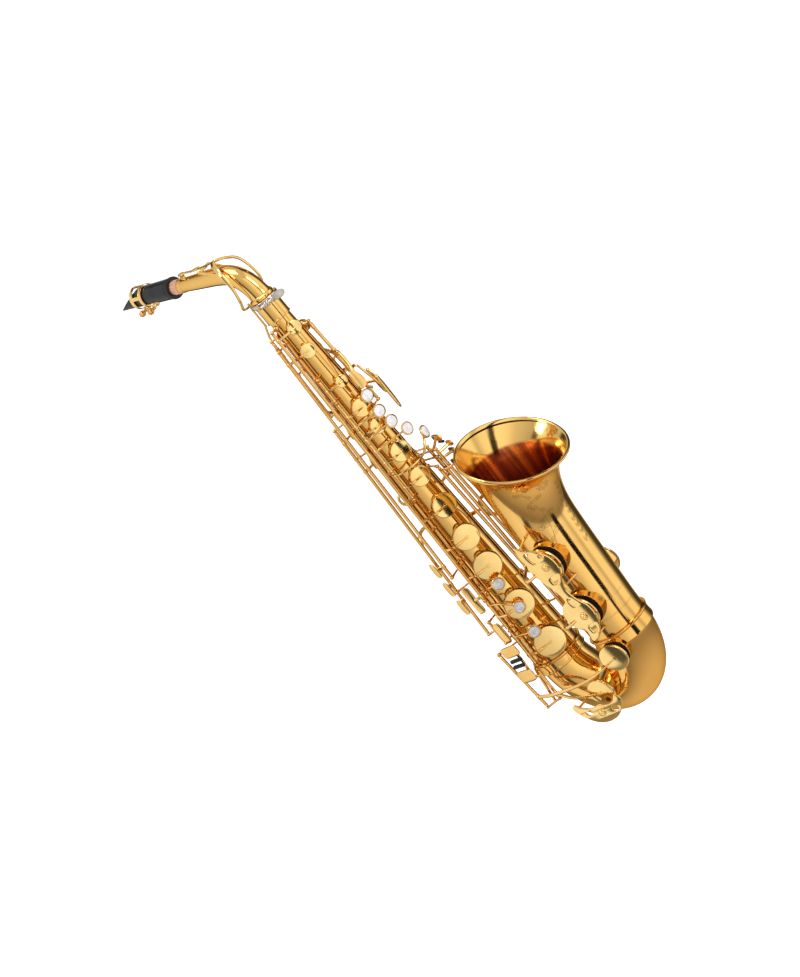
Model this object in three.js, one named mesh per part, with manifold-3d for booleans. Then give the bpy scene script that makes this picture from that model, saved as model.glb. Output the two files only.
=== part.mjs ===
// Alto saxophone: conical brass body, bow and bell, a swivelling neck with mouthpiece, and hinged keywork.
// Millimetres. +Z runs up the body tube, +X from the body to the bell, +Y to the player's left.
// The design frame has its zero at the bottom of the bow, on the body tube's axis. The exported frame has its
// origin in the eye of the strap ring.
import * as THREE from 'three';
import { mergeVertices } from 'three/addons/utils/BufferGeometryUtils.js';
import Module from 'manifold-3d';

const wasm = await Module();
wasm.setup();

// ---------- driving dimensions ----------
const GAP = 0.3;                              // between pieces that touch
const WALL = 1.1;                             // sheet of the bore parts
const BODY = { z0: 92.3, z1: 580, r0: 28, r1: 12.3 };
const TOP = { z1: 600, ro: 14.6, ri: 12.3 };  // neck receiver
const BOW = { x: 91, z: 92, drop: 61, r0: 28, rMid: 31, r1: 34, socket: 7 };
const BELL = { lean: 4.1, tip: 28, straight: 105, length: 237 };
const BELL_PROFILE = [[0, 34], [30, 34.4], [105, 35.4], [130, 35.8], [152, 36.3], [172, 38], [192, 41.3], [208, 45.8],
  [220, 51], [229, 56.4], [234.5, 60.3]];
const RIM = { r: 61.5, bead: 1.9 };
const NECK_TURN = 12.7;                       // swivel of the neck towards the player's left, degrees
const NECK_PATH = [[0, 580], [0, 594], [0, 606], [2.5, 618], [9.5, 630], [21, 638.5], [37, 643], [60, 646.6], [90, 651.2],
  [127, 656.6]];                              // distance behind the body axis, height
const NECK_R = [[0, 11.9], [30, 11.9], [50, 11.6], [75, 10.6], [110, 9], [150, 7.4], [175, 6.6]];
const MOUTHPIECE = { inset: 17, length: 92, rShank: 12, rBody: 11.3, bore: 8.35, tip: 1.1, beak: 33 };
const CORK = { length: 27.5, ri: 6.75, ro: 8 };
const ROD = 1.9;                              // radius of a hinge tube
const STRAP = { x: -30, z: 330, r: 7, wire: 1.6 };
const BRASS = [0xd6a145, 0.22, 1.0];
const SATIN = [0xd9a54b, 0.38, 1.0];
const SILVER = [0xc9c4b8, 0.3, 1.0];
const BLACK = [0x0b0b0d, 0.15, 0.0];
const PEARL = [0xf1eee8, 0.25, 0.0];
const GREY_PEARL = [0xa9a39a, 0.25, 0.0];
const CORK_SKIN = [0xc98763, 0.85, 0.0];
const CANE = [0xd9bd7a, 0.7, 0.0];

// Tone holes on the body tube: height, angle round the tube (0 = bell side, 90 = player's right), chimney
// radius. Each cup is 1 mm larger than its chimney.
const HOLES = {
  high_f_sharp: [558, 33, 7.2], high_e: [530, 47, 7.6], c: [483, 29, 6.2], b: [448, 35, 9.6],
  bis: [422, 32, 8.2], a: [385, 30, 11], g: [351, 34, 10.6], g_sharp: [309, 35, 13], f_sharp: [268, 42, 14],
  f: [229, 46, 15], e: [174, 47, 16], d: [120, 48, 17],
  palm_f: [548, -76, 6.2], palm_eflat: [520, -104, 6.8], palm_d: [494, -134, 7.2],
  side_c: [425, 172, 7.6], side_bflat: [385, 172, 8.4], octave: [512, 166, 3.2],
};
const CHIMNEY = 3.2;                          // height of a chimney over the tube
const CUP = 4.2;                              // thickness of a cup with its pad
const BELL_HOLES = { low_bflat: [209, 20.5], low_b: [141, 20.5] };   // height, chimney radius, on the right side
const CSHARP = [150, 16];                     // on the bell's left side

// ---------- small maths ----------
const V = (x, y, z) => new THREE.Vector3(x, y, z);
const rad = (d) => d * Math.PI / 180;
const bodyR = (z) => BODY.r1 + (BODY.r0 - BODY.r1) * (BODY.z1 - z) / (BODY.z1 - BODY.z0);
const P = (phi, r, z) => V(r * Math.cos(rad(phi)), -r * Math.sin(rad(phi)), z);
const lerp = (table, s) => {
  let i = 1;
  while (i < table.length - 1 && table[i][0] < s) i += 1;
  const [a, b] = [table[i - 1], table[i]];
  const t = Math.min(1, Math.max(0, (s - a[0]) / (b[0] - a[0])));
  return a[1] + (b[1] - a[1]) * t;
};

// ---------- solids ----------
function solid(geometry) {
  let g = geometry.clone();
  for (const name of Object.keys(g.attributes)) if (name !== 'position') g.deleteAttribute(name);
  g = mergeVertices(g, 1e-4);
  return new wasm.Manifold(new wasm.Mesh({
    numProp: 3, vertProperties: Float32Array.from(g.attributes.position.array),
    triVerts: Uint32Array.from(g.index.array),
  }));
}
function geometryOf(manifold) {
  const mesh = manifold.getMesh();
  const g = new THREE.BufferGeometry();
  g.setAttribute('position', new THREE.BufferAttribute(Float32Array.from(mesh.vertProperties), 3));
  g.setIndex(new THREE.BufferAttribute(Uint32Array.from(mesh.triVerts), 1));
  g.computeVertexNormals();
  return g;
}
const join = (list) => list.reduce((a, b) => a.add(b));
const cut = (a, list) => list.reduce((m, b) => m.subtract(b), a);

const turned = (from, to) => new THREE.Quaternion().setFromUnitVectors(from, to);
const Y = V(0, 1, 0);
function cyl(p, q, r, seg = 6, rEnd = r) {
  const d = q.clone().sub(p);
  const g = new THREE.CylinderGeometry(rEnd, r, d.length(), seg);
  g.applyQuaternion(turned(Y, d.clone().normalize()));
  g.translate(...p.clone().add(q).multiplyScalar(0.5).toArray());
  return solid(g);
}
function ball(p, r) {
  const g = new THREE.SphereGeometry(r, 8, 5);
  g.translate(p.x, p.y, p.z);
  return solid(g);
}
function bar(p, q, width, thick, out) {      // a flat bar; its thin side faces the direction "out"
  const d = q.clone().sub(p).normalize();
  const side = out.clone().cross(d).normalize();
  const up = d.clone().cross(side).normalize();
  const g = new THREE.BoxGeometry(p.distanceTo(q) + 0.6 * width, width, thick);
  g.applyMatrix4(new THREE.Matrix4().makeBasis(d, side, up));
  g.translate(...p.clone().add(q).multiplyScalar(0.5).toArray());
  return solid(g);
}
class Track extends THREE.Curve {             // a polyline whose stations are its own corners
  constructor(points) {
    super();
    this.points = points;
  }
  getPointAt(t) {
    const f = t * (this.points.length - 1);
    const i = Math.min(this.points.length - 2, Math.floor(f));
    return this.points[i].clone().lerp(this.points[i + 1], f - i);
  }
  getTangentAt(t) {
    const [n, i] = [this.points.length, Math.round(t * (this.points.length - 1))];
    const leg = (k) => this.points[k + 1].clone().sub(this.points[k]).normalize();
    if (i === 0) return leg(0);
    return i === n - 1 ? leg(n - 2) : leg(i - 1).add(leg(i)).normalize();
  }
  getSpacedPoints(n) {
    return Array.from({ length: n + 1 }, (_, i) => this.getPointAt(i / n));
  }
}
function bars(points, width, thick) {         // a bent bar of one piece through the points
  const w = 0.5 * Math.sqrt(width * thick);
  const section = new THREE.Shape([[-w, -w], [w, -w], [w, w], [-w, w]].map(([x, y]) => new THREE.Vector2(x, y)));
  return solid(new THREE.ExtrudeGeometry(section, { steps: points.length - 1, extrudePath: new Track(points) }));
}
function lathe(profile, base, axis, seg = 16) {   // profile: [radius, height] along the axis from base
  const g = new THREE.LatheGeometry(profile.map(([r, h]) => new THREE.Vector2(r, h)), seg);
  g.applyQuaternion(turned(Y, axis.clone().normalize()));
  g.translate(base.x, base.y, base.z);
  return solid(g);
}
const disc = (c, n, r, h, seg = 12) => lathe([[0, 0], [r, 0], [r, h - 0.7], [r - 1, h], [0, h]], c, n, seg);
function outline(points, thick, origin, xDir, yDir) {   // an extruded outline in the plane of xDir and yDir
  const shape = new THREE.Shape(points.map(([x, y]) => new THREE.Vector2(x, y)));
  const g = new THREE.ExtrudeGeometry(shape, { depth: thick, bevelEnabled: false });
  const z = xDir.clone().cross(yDir).normalize();
  g.applyMatrix4(new THREE.Matrix4().makeBasis(xDir.clone().normalize(), z.clone().cross(xDir).normalize(), z));
  g.translate(origin.x, origin.y, origin.z);
  return solid(g);
}
const oval = (w, h, n = 14) => Array.from({ length: n }, (_, i) => [
  0.5 * w * Math.cos(2 * Math.PI * i / n), 0.5 * h * Math.sin(2 * Math.PI * i / n)]);
function ringSolid(c, axis, r, wire, seg = 20) {
  const g = new THREE.TorusGeometry(r, wire, 5, seg);
  g.applyQuaternion(turned(V(0, 0, 1), axis.clone().normalize()));
  g.translate(c.x, c.y, c.z);
  return solid(g);
}

// A solid of revolution bent along a plane path. Stations: [length, radius]; at(s) gives point and tangent.
function bentSolid(stations, at, seg) {
  const last = stations[stations.length - 1];
  const points = [new THREE.Vector2(0, stations[0][0]), ...stations.map(([s, r]) => new THREE.Vector2(r, s)),
    new THREE.Vector2(0, last[0])];
  const g = new THREE.LatheGeometry(points, seg);
  const pos = g.attributes.position;
  for (let i = 0; i < pos.count; i += 1) {
    const { point, tangent, side } = at(pos.getY(i));
    const across = tangent.clone().cross(side);
    const v = point.clone().addScaledVector(across, pos.getX(i)).addScaledVector(side, pos.getZ(i));
    pos.setXYZ(i, v.x, v.y, v.z);
  }
  return solid(g);
}

// ---------- the scene ----------
const root = new THREE.Group();
root.position.set(-STRAP.x, 0, -STRAP.z);
const group = new THREE.Group();
group.add(root);
const material = ([color, roughness, metalness], name) => new THREE.MeshStandardMaterial(
  { color, roughness, metalness, name });
function mesh(name, manifold, look, parent = root) {
  const m = new THREE.Mesh(geometryOf(manifold), material(look, name));
  m.name = name;
  parent.add(m);
  return m;
}

// ---------- body tube ----------
function bodyTube() {
  const cone = (grow, z0, z1) => lathe([[0, 0], [bodyR(z0) + grow, 0], [bodyR(z1) + grow, z1 - z0], [0, z1 - z0]],
    V(0, 0, z0), V(0, 0, 1), 20);
  let tube = cone(0, BODY.z0, 576);
  const bores = [cone(-WALL, BODY.z0 - 1, 577)];
  for (const [z, phi, r] of Object.values(HOLES)) {
    const seg = r > 9 ? 10 : 8;
    const R = bodyR(z);
    const inner = Math.sqrt(Math.max(1, R * R - r * r)) - WALL;
    tube = tube.add(cyl(P(phi, inner * 0.7, z), P(phi, R + CHIMNEY, z), r, seg));
    bores.push(cyl(P(phi, 0.5, z), P(phi, R + CHIMNEY + 1, z), r - 1.1, seg));
  }
  return cut(tube, bores);
}
mesh('body_tube', bodyTube(), BRASS);

// ---------- bow ----------
const bowLength = 2 * BOW.socket + 161;
function bowAt(s) {
  const side = V(0, 1, 0);
  if (s <= BOW.socket) return { point: V(0, 0, BOW.z + BOW.socket - s), tangent: V(0, 0, -1), side };
  if (s >= bowLength - BOW.socket) {
    return { point: V(BOW.x, 0, BOW.z + s - bowLength + BOW.socket), tangent: V(0, 0, 1), side };
  }
  const t = Math.PI * (s - BOW.socket) / (bowLength - 2 * BOW.socket);
  const h = BOW.x / 2;
  return {
    point: V(h - h * Math.cos(t), 0, BOW.z - BOW.drop * Math.sin(t)),
    tangent: V(h * Math.sin(t), 0, -BOW.drop * Math.cos(t)).normalize(), side,
  };
}
const bowRadius = (s) => {
  const t = (s - BOW.socket) / (bowLength - 2 * BOW.socket);
  return BOW.r0 + (BOW.r1 - BOW.r0) * Math.min(1, Math.max(0, t));
};
function bowPart() {
  const sides = 18;
  const fit = (r) => (r + GAP) / Math.cos(Math.PI / sides);   // a socket's corners stand outside its flats
  const outer = [[0, BOW.r0 + 3.2], [BOW.socket * 0.45, BOW.r0 + 3.2], [BOW.socket * 0.5, BOW.r0 + 2.4],
    [BOW.socket + 6, BOW.r0 + 2.4], [BOW.socket + 6.5, BOW.r0]];
  const inner = [[-1, fit(BOW.r0)], [BOW.socket, fit(BOW.r0)], [BOW.socket + 0.1, BOW.r0 - WALL]];
  const n = 8;
  for (let i = 1; i < n; i += 1) {
    const s = BOW.socket + 6.5 + (bowLength - 2 * BOW.socket - 13) * i / n;
    outer.push([s, bowRadius(s)]);
    inner.push([s, bowRadius(s) - WALL]);
  }
  const e = bowLength;
  outer.push([e - BOW.socket - 6.5, BOW.r1], [e - BOW.socket - 6, BOW.r1 + 2.4], [e - BOW.socket * 0.5, BOW.r1 + 2.4],
    [e - BOW.socket * 0.45, BOW.r1 + 3.2], [e, BOW.r1 + 3.2]);
  inner.push([e - BOW.socket - 0.1, BOW.r1 - WALL], [e - BOW.socket, fit(BOW.r1)], [e + 1, fit(BOW.r1)]);
  let tube = bentSolid(outer, bowAt, sides);
  const bores = [bentSolid(inner, bowAt, sides)];
  for (const { c, n: dir, r } of Object.values(BOW_HOLES)) {
    const from = c.clone().addScaledVector(dir, -14);
    tube = tube.add(cyl(from, c, r, 12));
    bores.push(cyl(c.clone().addScaledVector(dir, -26), c.clone().addScaledVector(dir, 1), r - 1.2, 12));
  }
  return cut(tube, bores);
}
// Chimney mouths on the bow: centre of the mouth, outward direction, radius.
const BOW_HOLES = {
  low_eflat: { c: V(42, -35.5, 46), n: V(-0.05, -1, 0).normalize(), r: 15.5 },
  low_c: { c: V(94, -39.5, 82), n: V(0.1, -1, 0).normalize(), r: 15.5 },
};
mesh('bow', bowPart(), SATIN);

// ---------- bell ----------
const bellPath = (() => {
  const list = [{ s: -10, p: V(BOW.x, 0, BOW.z - 10), a: 0 }];
  let p = V(BOW.x, 0, BOW.z + GAP);
  for (let s = 0; s <= BELL.length + 10; s += 1) {
    const t = Math.max(0, (s - BELL.straight) / (BELL.length - BELL.straight));
    const a = rad(BELL.lean * Math.min(1, Math.max(0, s - 8) / 20) + BELL.tip * t * t);
    list.push({ s, p: p.clone(), a });
    p = p.clone().add(V(Math.sin(a), 0, Math.cos(a)));
  }
  return list;
})();
function bellAt(s) {
  let i = 1;
  while (i < bellPath.length - 1 && bellPath[i].s < s) i += 1;
  const [u, v] = [bellPath[i - 1], bellPath[i]];
  const t = (s - u.s) / (v.s - u.s);
  const a = u.a + (v.a - u.a) * t;
  return { point: u.p.clone().lerp(v.p, t), tangent: V(Math.sin(a), 0, Math.cos(a)), side: V(0, 1, 0) };
}
const bellR = (z) => lerp(BELL_PROFILE, z - BOW.z);
const bellX = (z) => bellAt(z - BOW.z).point.x;
// Mouth of a chimney on the bell's side; side -1 is the player's right.
const bellMouth = (z, side) => V(bellX(z) + 4, side * (bellR(z) + 3.6), z);
function bellPart() {
  const L = BELL.length;
  const outer = [[GAP, BELL_PROFILE[0][1]], ...BELL_PROFILE.slice(1), [L - 1.2, RIM.r - 0.4], [L, RIM.r],
    [L + 1.3, RIM.r - 0.5], [L + 1.6, RIM.r - 1.9]];
  const inner = [[-1, BELL_PROFILE[0][1] - WALL], ...BELL_PROFILE.slice(1).map(([s, r]) => [s + 0.6, r - WALL - 0.3]),
    [L + 0.4, RIM.r - 3.2], [L + 3, RIM.r - 2.4]];
  let tube = bentSolid(outer, bellAt, 24);
  const bores = [bentSolid(inner, bellAt, 24)];
  const chimney = (c, dir, r) => {
    tube = tube.add(cyl(c.clone().addScaledVector(dir, -18), c, r, 12));
    bores.push(cyl(c.clone().addScaledVector(dir, -28), c.clone().addScaledVector(dir, 1), r - 1.3, 12));
  };
  for (const [z, r] of Object.values(BELL_HOLES)) chimney(bellMouth(z, -1), V(0, -1, 0), r);
  chimney(bellMouth(CSHARP[0], 1), V(0, 1, 0), CSHARP[1]);
  return cut(tube, bores);
}
mesh('bell', bellPart(), SATIN);

// ---------- brace, receiver, strap ring, thumb pieces ----------
function braceRing() {
  const [y, z] = [13, 276];
  const c = V(47.5, y, z);
  const bellFoot = bellX(z) - Math.sqrt((bellR(z) + GAP) ** 2 - y * y);
  const bodyFoot = Math.sqrt((bodyR(z) + GAP) ** 2 - y * y);
  return join([
    ringSolid(c, V(0, 1, 0), 12.5, 2, 14),
    cyl(c.clone().add(V(12, 0, 0)), V(bellFoot - 1.2, y, z), 2.4, 8),
    cyl(c.clone().add(V(-12, 0, 0)), V(bodyFoot + 1.6, y, z), 2.4, 8),
  ]);
}
mesh('bell_brace', braceRing(), BRASS);

const SCREW = { c: P(52, TOP.ro + 4.6, 596), d: P(-38, 1, 0) };
function receiver() {
  const up = V(0, 0, 1);
  const sleeve = lathe([[0, 0], [TOP.ro, 0], [TOP.ro, 22.5], [TOP.ro + 1.2, 23], [TOP.ro + 1.2, 27], [0, 27]],
    V(0, 0, 573), up, 16);
  const lug = bar(P(52, TOP.ro, 596), P(52, TOP.ro + 7.5, 596), 9, 7, up);
  const hole = cyl(SCREW.c.clone().addScaledVector(SCREW.d, -12), SCREW.c.clone().addScaledVector(SCREW.d, 12), 2.1, 8);
  const bore = lathe([[0, 0], [bodyR(573) + 0.6, 0], [bodyR(573) + 0.6, 3.5], [12.4, 4], [12.4, 28], [0, 28]],
    V(0, 0, 572.5), up, 16);
  return cut(join([sleeve, lug]), [bore, hole]);
}
mesh('neck_receiver', receiver(), SILVER);

function receiverScrew() {
  const { c, d } = SCREW;
  const at = (t) => c.clone().addScaledVector(d, t);
  const wing = outline(oval(15, 9, 12), 2.4, at(15.5).addScaledVector(P(52, 1, 0), 1.2), d, V(0, 0, 1));
  return join([cyl(at(-8), at(9), 1.75, 8), cyl(at(6.3), at(9), 3.4, 10), wing]);
}
mesh('receiver_screw', receiverScrew(), SILVER);

function lyreHolder() {
  const c = P(-120, TOP.ro + 5.2, 585);
  const body = new THREE.BoxGeometry(7.5, 7.5, 14);
  body.rotateZ(rad(120));
  body.translate(c.x, c.y, c.z);
  const hole = new THREE.BoxGeometry(3.2, 3.2, 16);
  hole.rotateZ(rad(120));
  hole.translate(c.x, c.y, c.z);
  return cut(solid(body), [solid(hole)]);
}
mesh('lyre_holder', lyreHolder(), BRASS);

function strapRing() {
  const ring = ringSolid(V(STRAP.x, 0, STRAP.z), V(0, 1, 0), STRAP.r, STRAP.wire, 16);
  const foot = bar(V(-bodyR(STRAP.z) - GAP - 1.3, 0, STRAP.z - 9), V(-bodyR(STRAP.z) - GAP - 1.3, 0, STRAP.z + 9),
    7, 1.6, V(1, 0, 0));
  return join([ring, foot]);
}
mesh('strap_ring', strapRing(), BRASS);

function thumbHook() {
  const R = bodyR(285);
  const base = bar(P(186, R + GAP + 1.3, 270), P(186, R + GAP + 1.3, 300), 10, 1.6, P(186, 1, 0));
  const pts = [P(186, R + 3.2, 286), P(183, R + 15, 290), P(172, R + 21, 287), P(160, R + 22, 278)];
  return join([base, bars(pts, 8, 2.4)]);
}
mesh('thumb_hook', thumbHook(), BRASS);

function thumbRest() {
  const R = bodyR(470);
  return lathe([[0, 0], [8, 0], [8, 2.5], [6, 4], [0, 4]], P(190, R + GAP + 0.5, 470), P(190, 1, 0), 14);
}
mesh('thumb_rest', thumbRest(), BLACK);

// ---------- keywork: rods, posts, cups ----------
// A key hinges about the line p0-p1. It is drawn closed, then swung open by "open" degrees (0 for a key that
// rests closed). "travel" is how far it opens, and userData keeps the joint for whoever animates the part.
function key(name, p0, p1, parts, options, riders = []) {
  const { open = 0, travel = open, out, probe, rod = ROD, look = BRASS } = options;
  const axis = p1.clone().sub(p0).normalize();
  const x = V(1, 0, 0).addScaledVector(axis, -axis.x).normalize();
  const frame = new THREE.Matrix4().makeBasis(x, axis.clone().cross(x), axis).setPosition(p0);
  const inverse = frame.clone().invert();
  const lever = probe.clone().sub(p0);
  const sign = Math.sign(axis.clone().cross(lever).dot(out));
  const hinge = new THREE.Group();
  hinge.position.copy(p0);
  hinge.quaternion.setFromRotationMatrix(frame);
  const swing = new THREE.Group();
  swing.rotation.z = rad(open) * sign;
  hinge.add(swing);
  root.add(hinge);
  const local = (m) => {
    const g = geometryOf(m);
    g.applyMatrix4(inverse);
    return g;
  };
  const pieces = [cyl(p0, p1, rod), ...parts];
  const node = new THREE.Mesh(local(join(pieces)), material(look, name));
  node.name = name;
  swing.add(node);
  for (const [riderName, riderSolid, riderLook] of riders) {
    const rider = new THREE.Mesh(local(riderSolid), material(riderLook, riderName));
    rider.name = riderName;
    swing.add(rider);
  }
  node.userData = { opens: sign, open, travel, p0: p0.toArray(), p1: p1.toArray() };
  return node;
}
// The cup over a body hole, in its closed place, and the arm that reaches it from a rod.
function cupOf(hole) {
  const [z, phi, r] = HOLES[hole];
  const base = bodyR(z) + CHIMNEY + GAP;
  const n = P(phi, 1, 0);
  return {
    solid: disc(P(phi, base, z), n, r + 1, CUP, 12), centre: P(phi, base + CUP, z), n, r: r + 1, z, phi,
    top: base + CUP,
  };
}
function armTo(cup, rodPhi, rodR, width = 3, z = cup.z) {
  const away = Math.sign(rodPhi - cup.phi);
  const t = V(0, 0, 1).cross(cup.n).multiplyScalar(-away);    // towards the rod, round the tube
  const tip = cup.centre.clone().addScaledVector(t, -cup.r * 0.35).addScaledVector(cup.n, 0.4);
  const knee = cup.centre.clone().addScaledVector(t, cup.r * 0.9).addScaledVector(cup.n, 0.4);
  const rod = P(rodPhi, rodR, z);
  if (z !== cup.z) { knee.z = 0.5 * (knee.z + z); }
  return bars([tip, knee, rod], width, 2.2);
}
function pearl(c, n, r = 7.4) {             // saucer under the pearl, and the pearl itself
  const seat = lathe([[0, -2.4], [r + 0.5, -2.4], [r + 0.5, 0.5], [r - 0.2, 0.5], [r - 0.2, -0.6], [0, -0.6]], c, n, 10);
  const stone = lathe([[0, -0.3], [r - 0.6, -0.3], [r - 0.6, 0.9], [0, 1.8]], c, n, 12);
  return { seat, stone };
}

// Stack rods: the upper one at 79 degrees, the lower one at 97 degrees, each a fixed height over the tube.
const UP = { phi: 79, h: 9 };
const LOW = { phi: 97, h: 10 };
const onLine = (line, z) => P(line.phi, bodyR(z) + line.h, z);
function stackKey(name, hole, z0, z1, line, extra = [], riders = [], open = 9) {
  const cup = cupOf(hole);
  const parts = [cup.solid, armTo(cup, line.phi, bodyR(cup.z) + line.h), ...extra];
  return key(name, onLine(line, z0), onLine(line, z1), parts,
    { open, out: cup.n, probe: cup.centre }, riders);
}
function fingerPearl(name, line, z, phi, r, aim, rootZ, look, via = []) {
  const c = P(phi, r, z);
  const { seat, stone } = pearl(c, P(aim, 1, 0), 7);
  const foot = c.clone().addScaledVector(P(aim, 1, 0), -2.6);
  const path = [P(line.phi, bodyR(rootZ) + line.h, rootZ), ...via, foot];
  return { parts: [seat, bars(path, 2.6, 2.4)], rider: [name, stone, look] };
}
{
  const b = fingerPearl('pearl_b', UP, 435, 16, 34, 20, 435, PEARL);
  const bis = fingerPearl('pearl_bis', UP, 418.5, 13, 36.5, 18, 416, PEARL);
  const a = fingerPearl('pearl_a', UP, 401, 2, 40, 8, 401, PEARL);
  const g = fingerPearl('pearl_g', UP, 384, -19, 43, -14, 367, PEARL, [P(40, 33, 367), P(5, 37, 369)]);
  stackKey('key_c', 'c', 470, 497, UP);
  stackKey('key_b', 'b', 430.5, 466, UP, b.parts, [b.rider]);
  stackKey('key_bis', 'bis', 411.5, 430, UP, bis.parts, [bis.rider], 8);
  stackKey('key_a', 'a', 373, 411, UP, a.parts, [a.rider], 8);
  stackKey('key_g', 'g', 337, 369, UP, g.parts, [g.rider], 8);
  const gs = cupOf('g_sharp');
  key('key_g_sharp', onLine(LOW, 296), onLine(LOW, 328), [gs.solid, armTo(gs, LOW.phi, bodyR(gs.z) + LOW.h)],
    { open: 0, travel: 8, out: gs.n, probe: gs.centre });
  const f = fingerPearl('pearl_f', LOW, 209, 51, 40, 50, 209, GREY_PEARL);
  const e = fingerPearl('pearl_e', LOW, 175, 49, 41.5, 49, 192, GREY_PEARL, [P(66, 38.5, 187)]);
  const d = fingerPearl('pearl_d', LOW, 143, 55, 42.5, 54, 146, GREY_PEARL);
  stackKey('key_f_sharp', 'f_sharp', 253, 292, LOW, [], [], 7);
  stackKey('key_f', 'f', 203, 247, LOW, f.parts, [f.rider], 7);
  stackKey('key_e', 'e', 158, 198, LOW, e.parts, [e.rider], 7);
  stackKey('key_d', 'd', 108, 152, LOW, d.parts, [d.rider], 6.5);
}

// A touch plate: a flat spatula with rounded corners, facing "out", long side along "along".
function touch(c, out, along, long, wide, thick = 2) {
  const x = along.clone().addScaledVector(out, -along.dot(out)).normalize();
  const y = out.clone().cross(x);
  const [a, b, k] = [long / 2, wide / 2, 0.3 * Math.min(long, wide)];
  const pts = [[a - k, -b], [a, k - b], [a, b - k], [a - k, b], [k - a, b], [-a, b - k], [-a, k - b], [k - a, -b]];
  return outline(pts, thick, c.clone().addScaledVector(out, -thick / 2), x, y);
}
const UPWARD = V(0, 0, 1);

// ---------- side keys: long rods down the player's right ----------
const HIGH_FS = { phi: 88, r: (z) => 27 + (560 - z) * 0.042 };
const HIGH_E = { phi: 110, r: (z) => 27 + (560 - z) * 0.049 };
const SIDE_C = { phi: 134, r: (z) => 27 + (560 - z) * 0.049 };
const SIDE_B = { phi: 144, r: (z) => 27 + (560 - z) * 0.049 };
const OCTAVE = { phi: 142, r: (z) => bodyR(z) + 10 };
const on = (line, z) => P(line.phi, line.r(z), z);
function sideKey(name, hole, line, z0, z1, touches, travel = 9) {
  const cup = cupOf(hole);
  return key(name, on(line, z0), on(line, z1), [cup.solid, armTo(cup, line.phi, line.r(cup.z)), ...touches],
    { open: 0, travel, out: cup.n, probe: cup.centre });
}
function sideTouch(line, z, phi, r, aim, long, wide) {
  const c = P(phi, r, z);
  const n = P(aim, 1, 0);
  return [touch(c, n, UPWARD, long, wide), bar(on(line, z), c, 3.4, 2, V(0, 0, 1).cross(c.clone().sub(on(line, z))))];
}
sideKey('key_high_f_sharp', 'high_f_sharp', HIGH_FS, 203.5, 567, sideTouch(HIGH_FS, 207, 104, 43.5, 84, 36, 12));
sideKey('key_high_e', 'high_e', HIGH_E, 243, 545, sideTouch(HIGH_E, 256, 122, 48.5, 112, 19, 9), 6);
sideKey('key_side_c', 'side_c', SIDE_C, 222, 440, sideTouch(SIDE_C, 231, 121, 50.5, 108, 19, 9));
sideKey('key_side_bflat', 'side_bflat', SIDE_B, 160, 400, sideTouch(SIDE_B, 206, 120, 51.5, 106, 20, 9));
{
  const c = P(104, 42, 158);
  const n = P(88, 1, 0);
  const line = { phi: 118, r: () => 41 };
  key('lever_alt_f_sharp', on(line, 146), on(line, 172), [touch(c, n, UPWARD, 28, 10),
    bar(on(line, 158), c, 4, 2.2, V(0, 0, 1).cross(c.clone().sub(on(line, 158)))),
    bar(on(line, 168), P(132, 38, 172), 3.4, 2, V(0, 0, 1).cross(P(132, 38, 0).sub(P(118, 41, 0))))],
  { open: 0, travel: 6, out: n.clone().negate(), probe: c });
}

// ---------- palm keys and the front F lever, on the player's left ----------
function palmKey(name, hole, phi, z0, z1, path, pad, travel = 8) {
  const cup = cupOf(hole);
  const line = { phi, r: (z) => bodyR(z) + 7.5 };
  const zArm = Math.min(z1 - 6, cup.z);
  const arm = armTo(cup, phi, line.r(zArm), 3, zArm);
  const c = path[path.length - 1];
  return key(name, on(line, z0), on(line, z1), [cup.solid, arm, bars([on(line, z0 + 3), ...path], 4.2, 2.4),
    touch(c, pad.n, pad.along, pad.long, pad.wide, 2.6)], { open: 0, travel, out: cup.n, probe: cup.centre });
}
palmKey('key_palm_f', 'palm_f', -34, 506, 549, [P(-20, 25.5, 506), P(-9, 28.5, 490), P(8, 32, 474.5)],
  { n: P(16, 1, 0), along: V(0.1, 0.1, -1), long: 24, wide: 13 }, 6.5);
palmKey('key_palm_eflat', 'palm_eflat', -64, 476, 506, [P(-40, 29, 482), P(-28, 34, 468), P(-27, 39.5, 440)],
  { n: P(-27, 1, 0), along: V(0.22, 0, -1), long: 44, wide: 9 });
palmKey('key_palm_d', 'palm_d', -94, 452, 496, [P(-72, 31, 456), P(-58, 38, 452)],
  { n: P(-58, 1, 0), along: V(0.1, 0, -1), long: 34, wide: 12 });
{
  const p = P(17, 34, 455);
  const { seat, stone } = pearl(p, P(30, 1, 0), 7);
  const line = { phi: -44, r: (z) => bodyR(z) + 8 };
  key('key_front_f', on(line, 440), on(line, 468), [seat,
    bars([on(line, 455), P(-12, 31, 455.5), p.clone().addScaledVector(P(30, 1, 0), -2.7)], 3, 2.4)],
  { open: 0, travel: 4, out: P(30, -1, 0), probe: p }, [['pearl_front_f', stone, PEARL]]);
}

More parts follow.
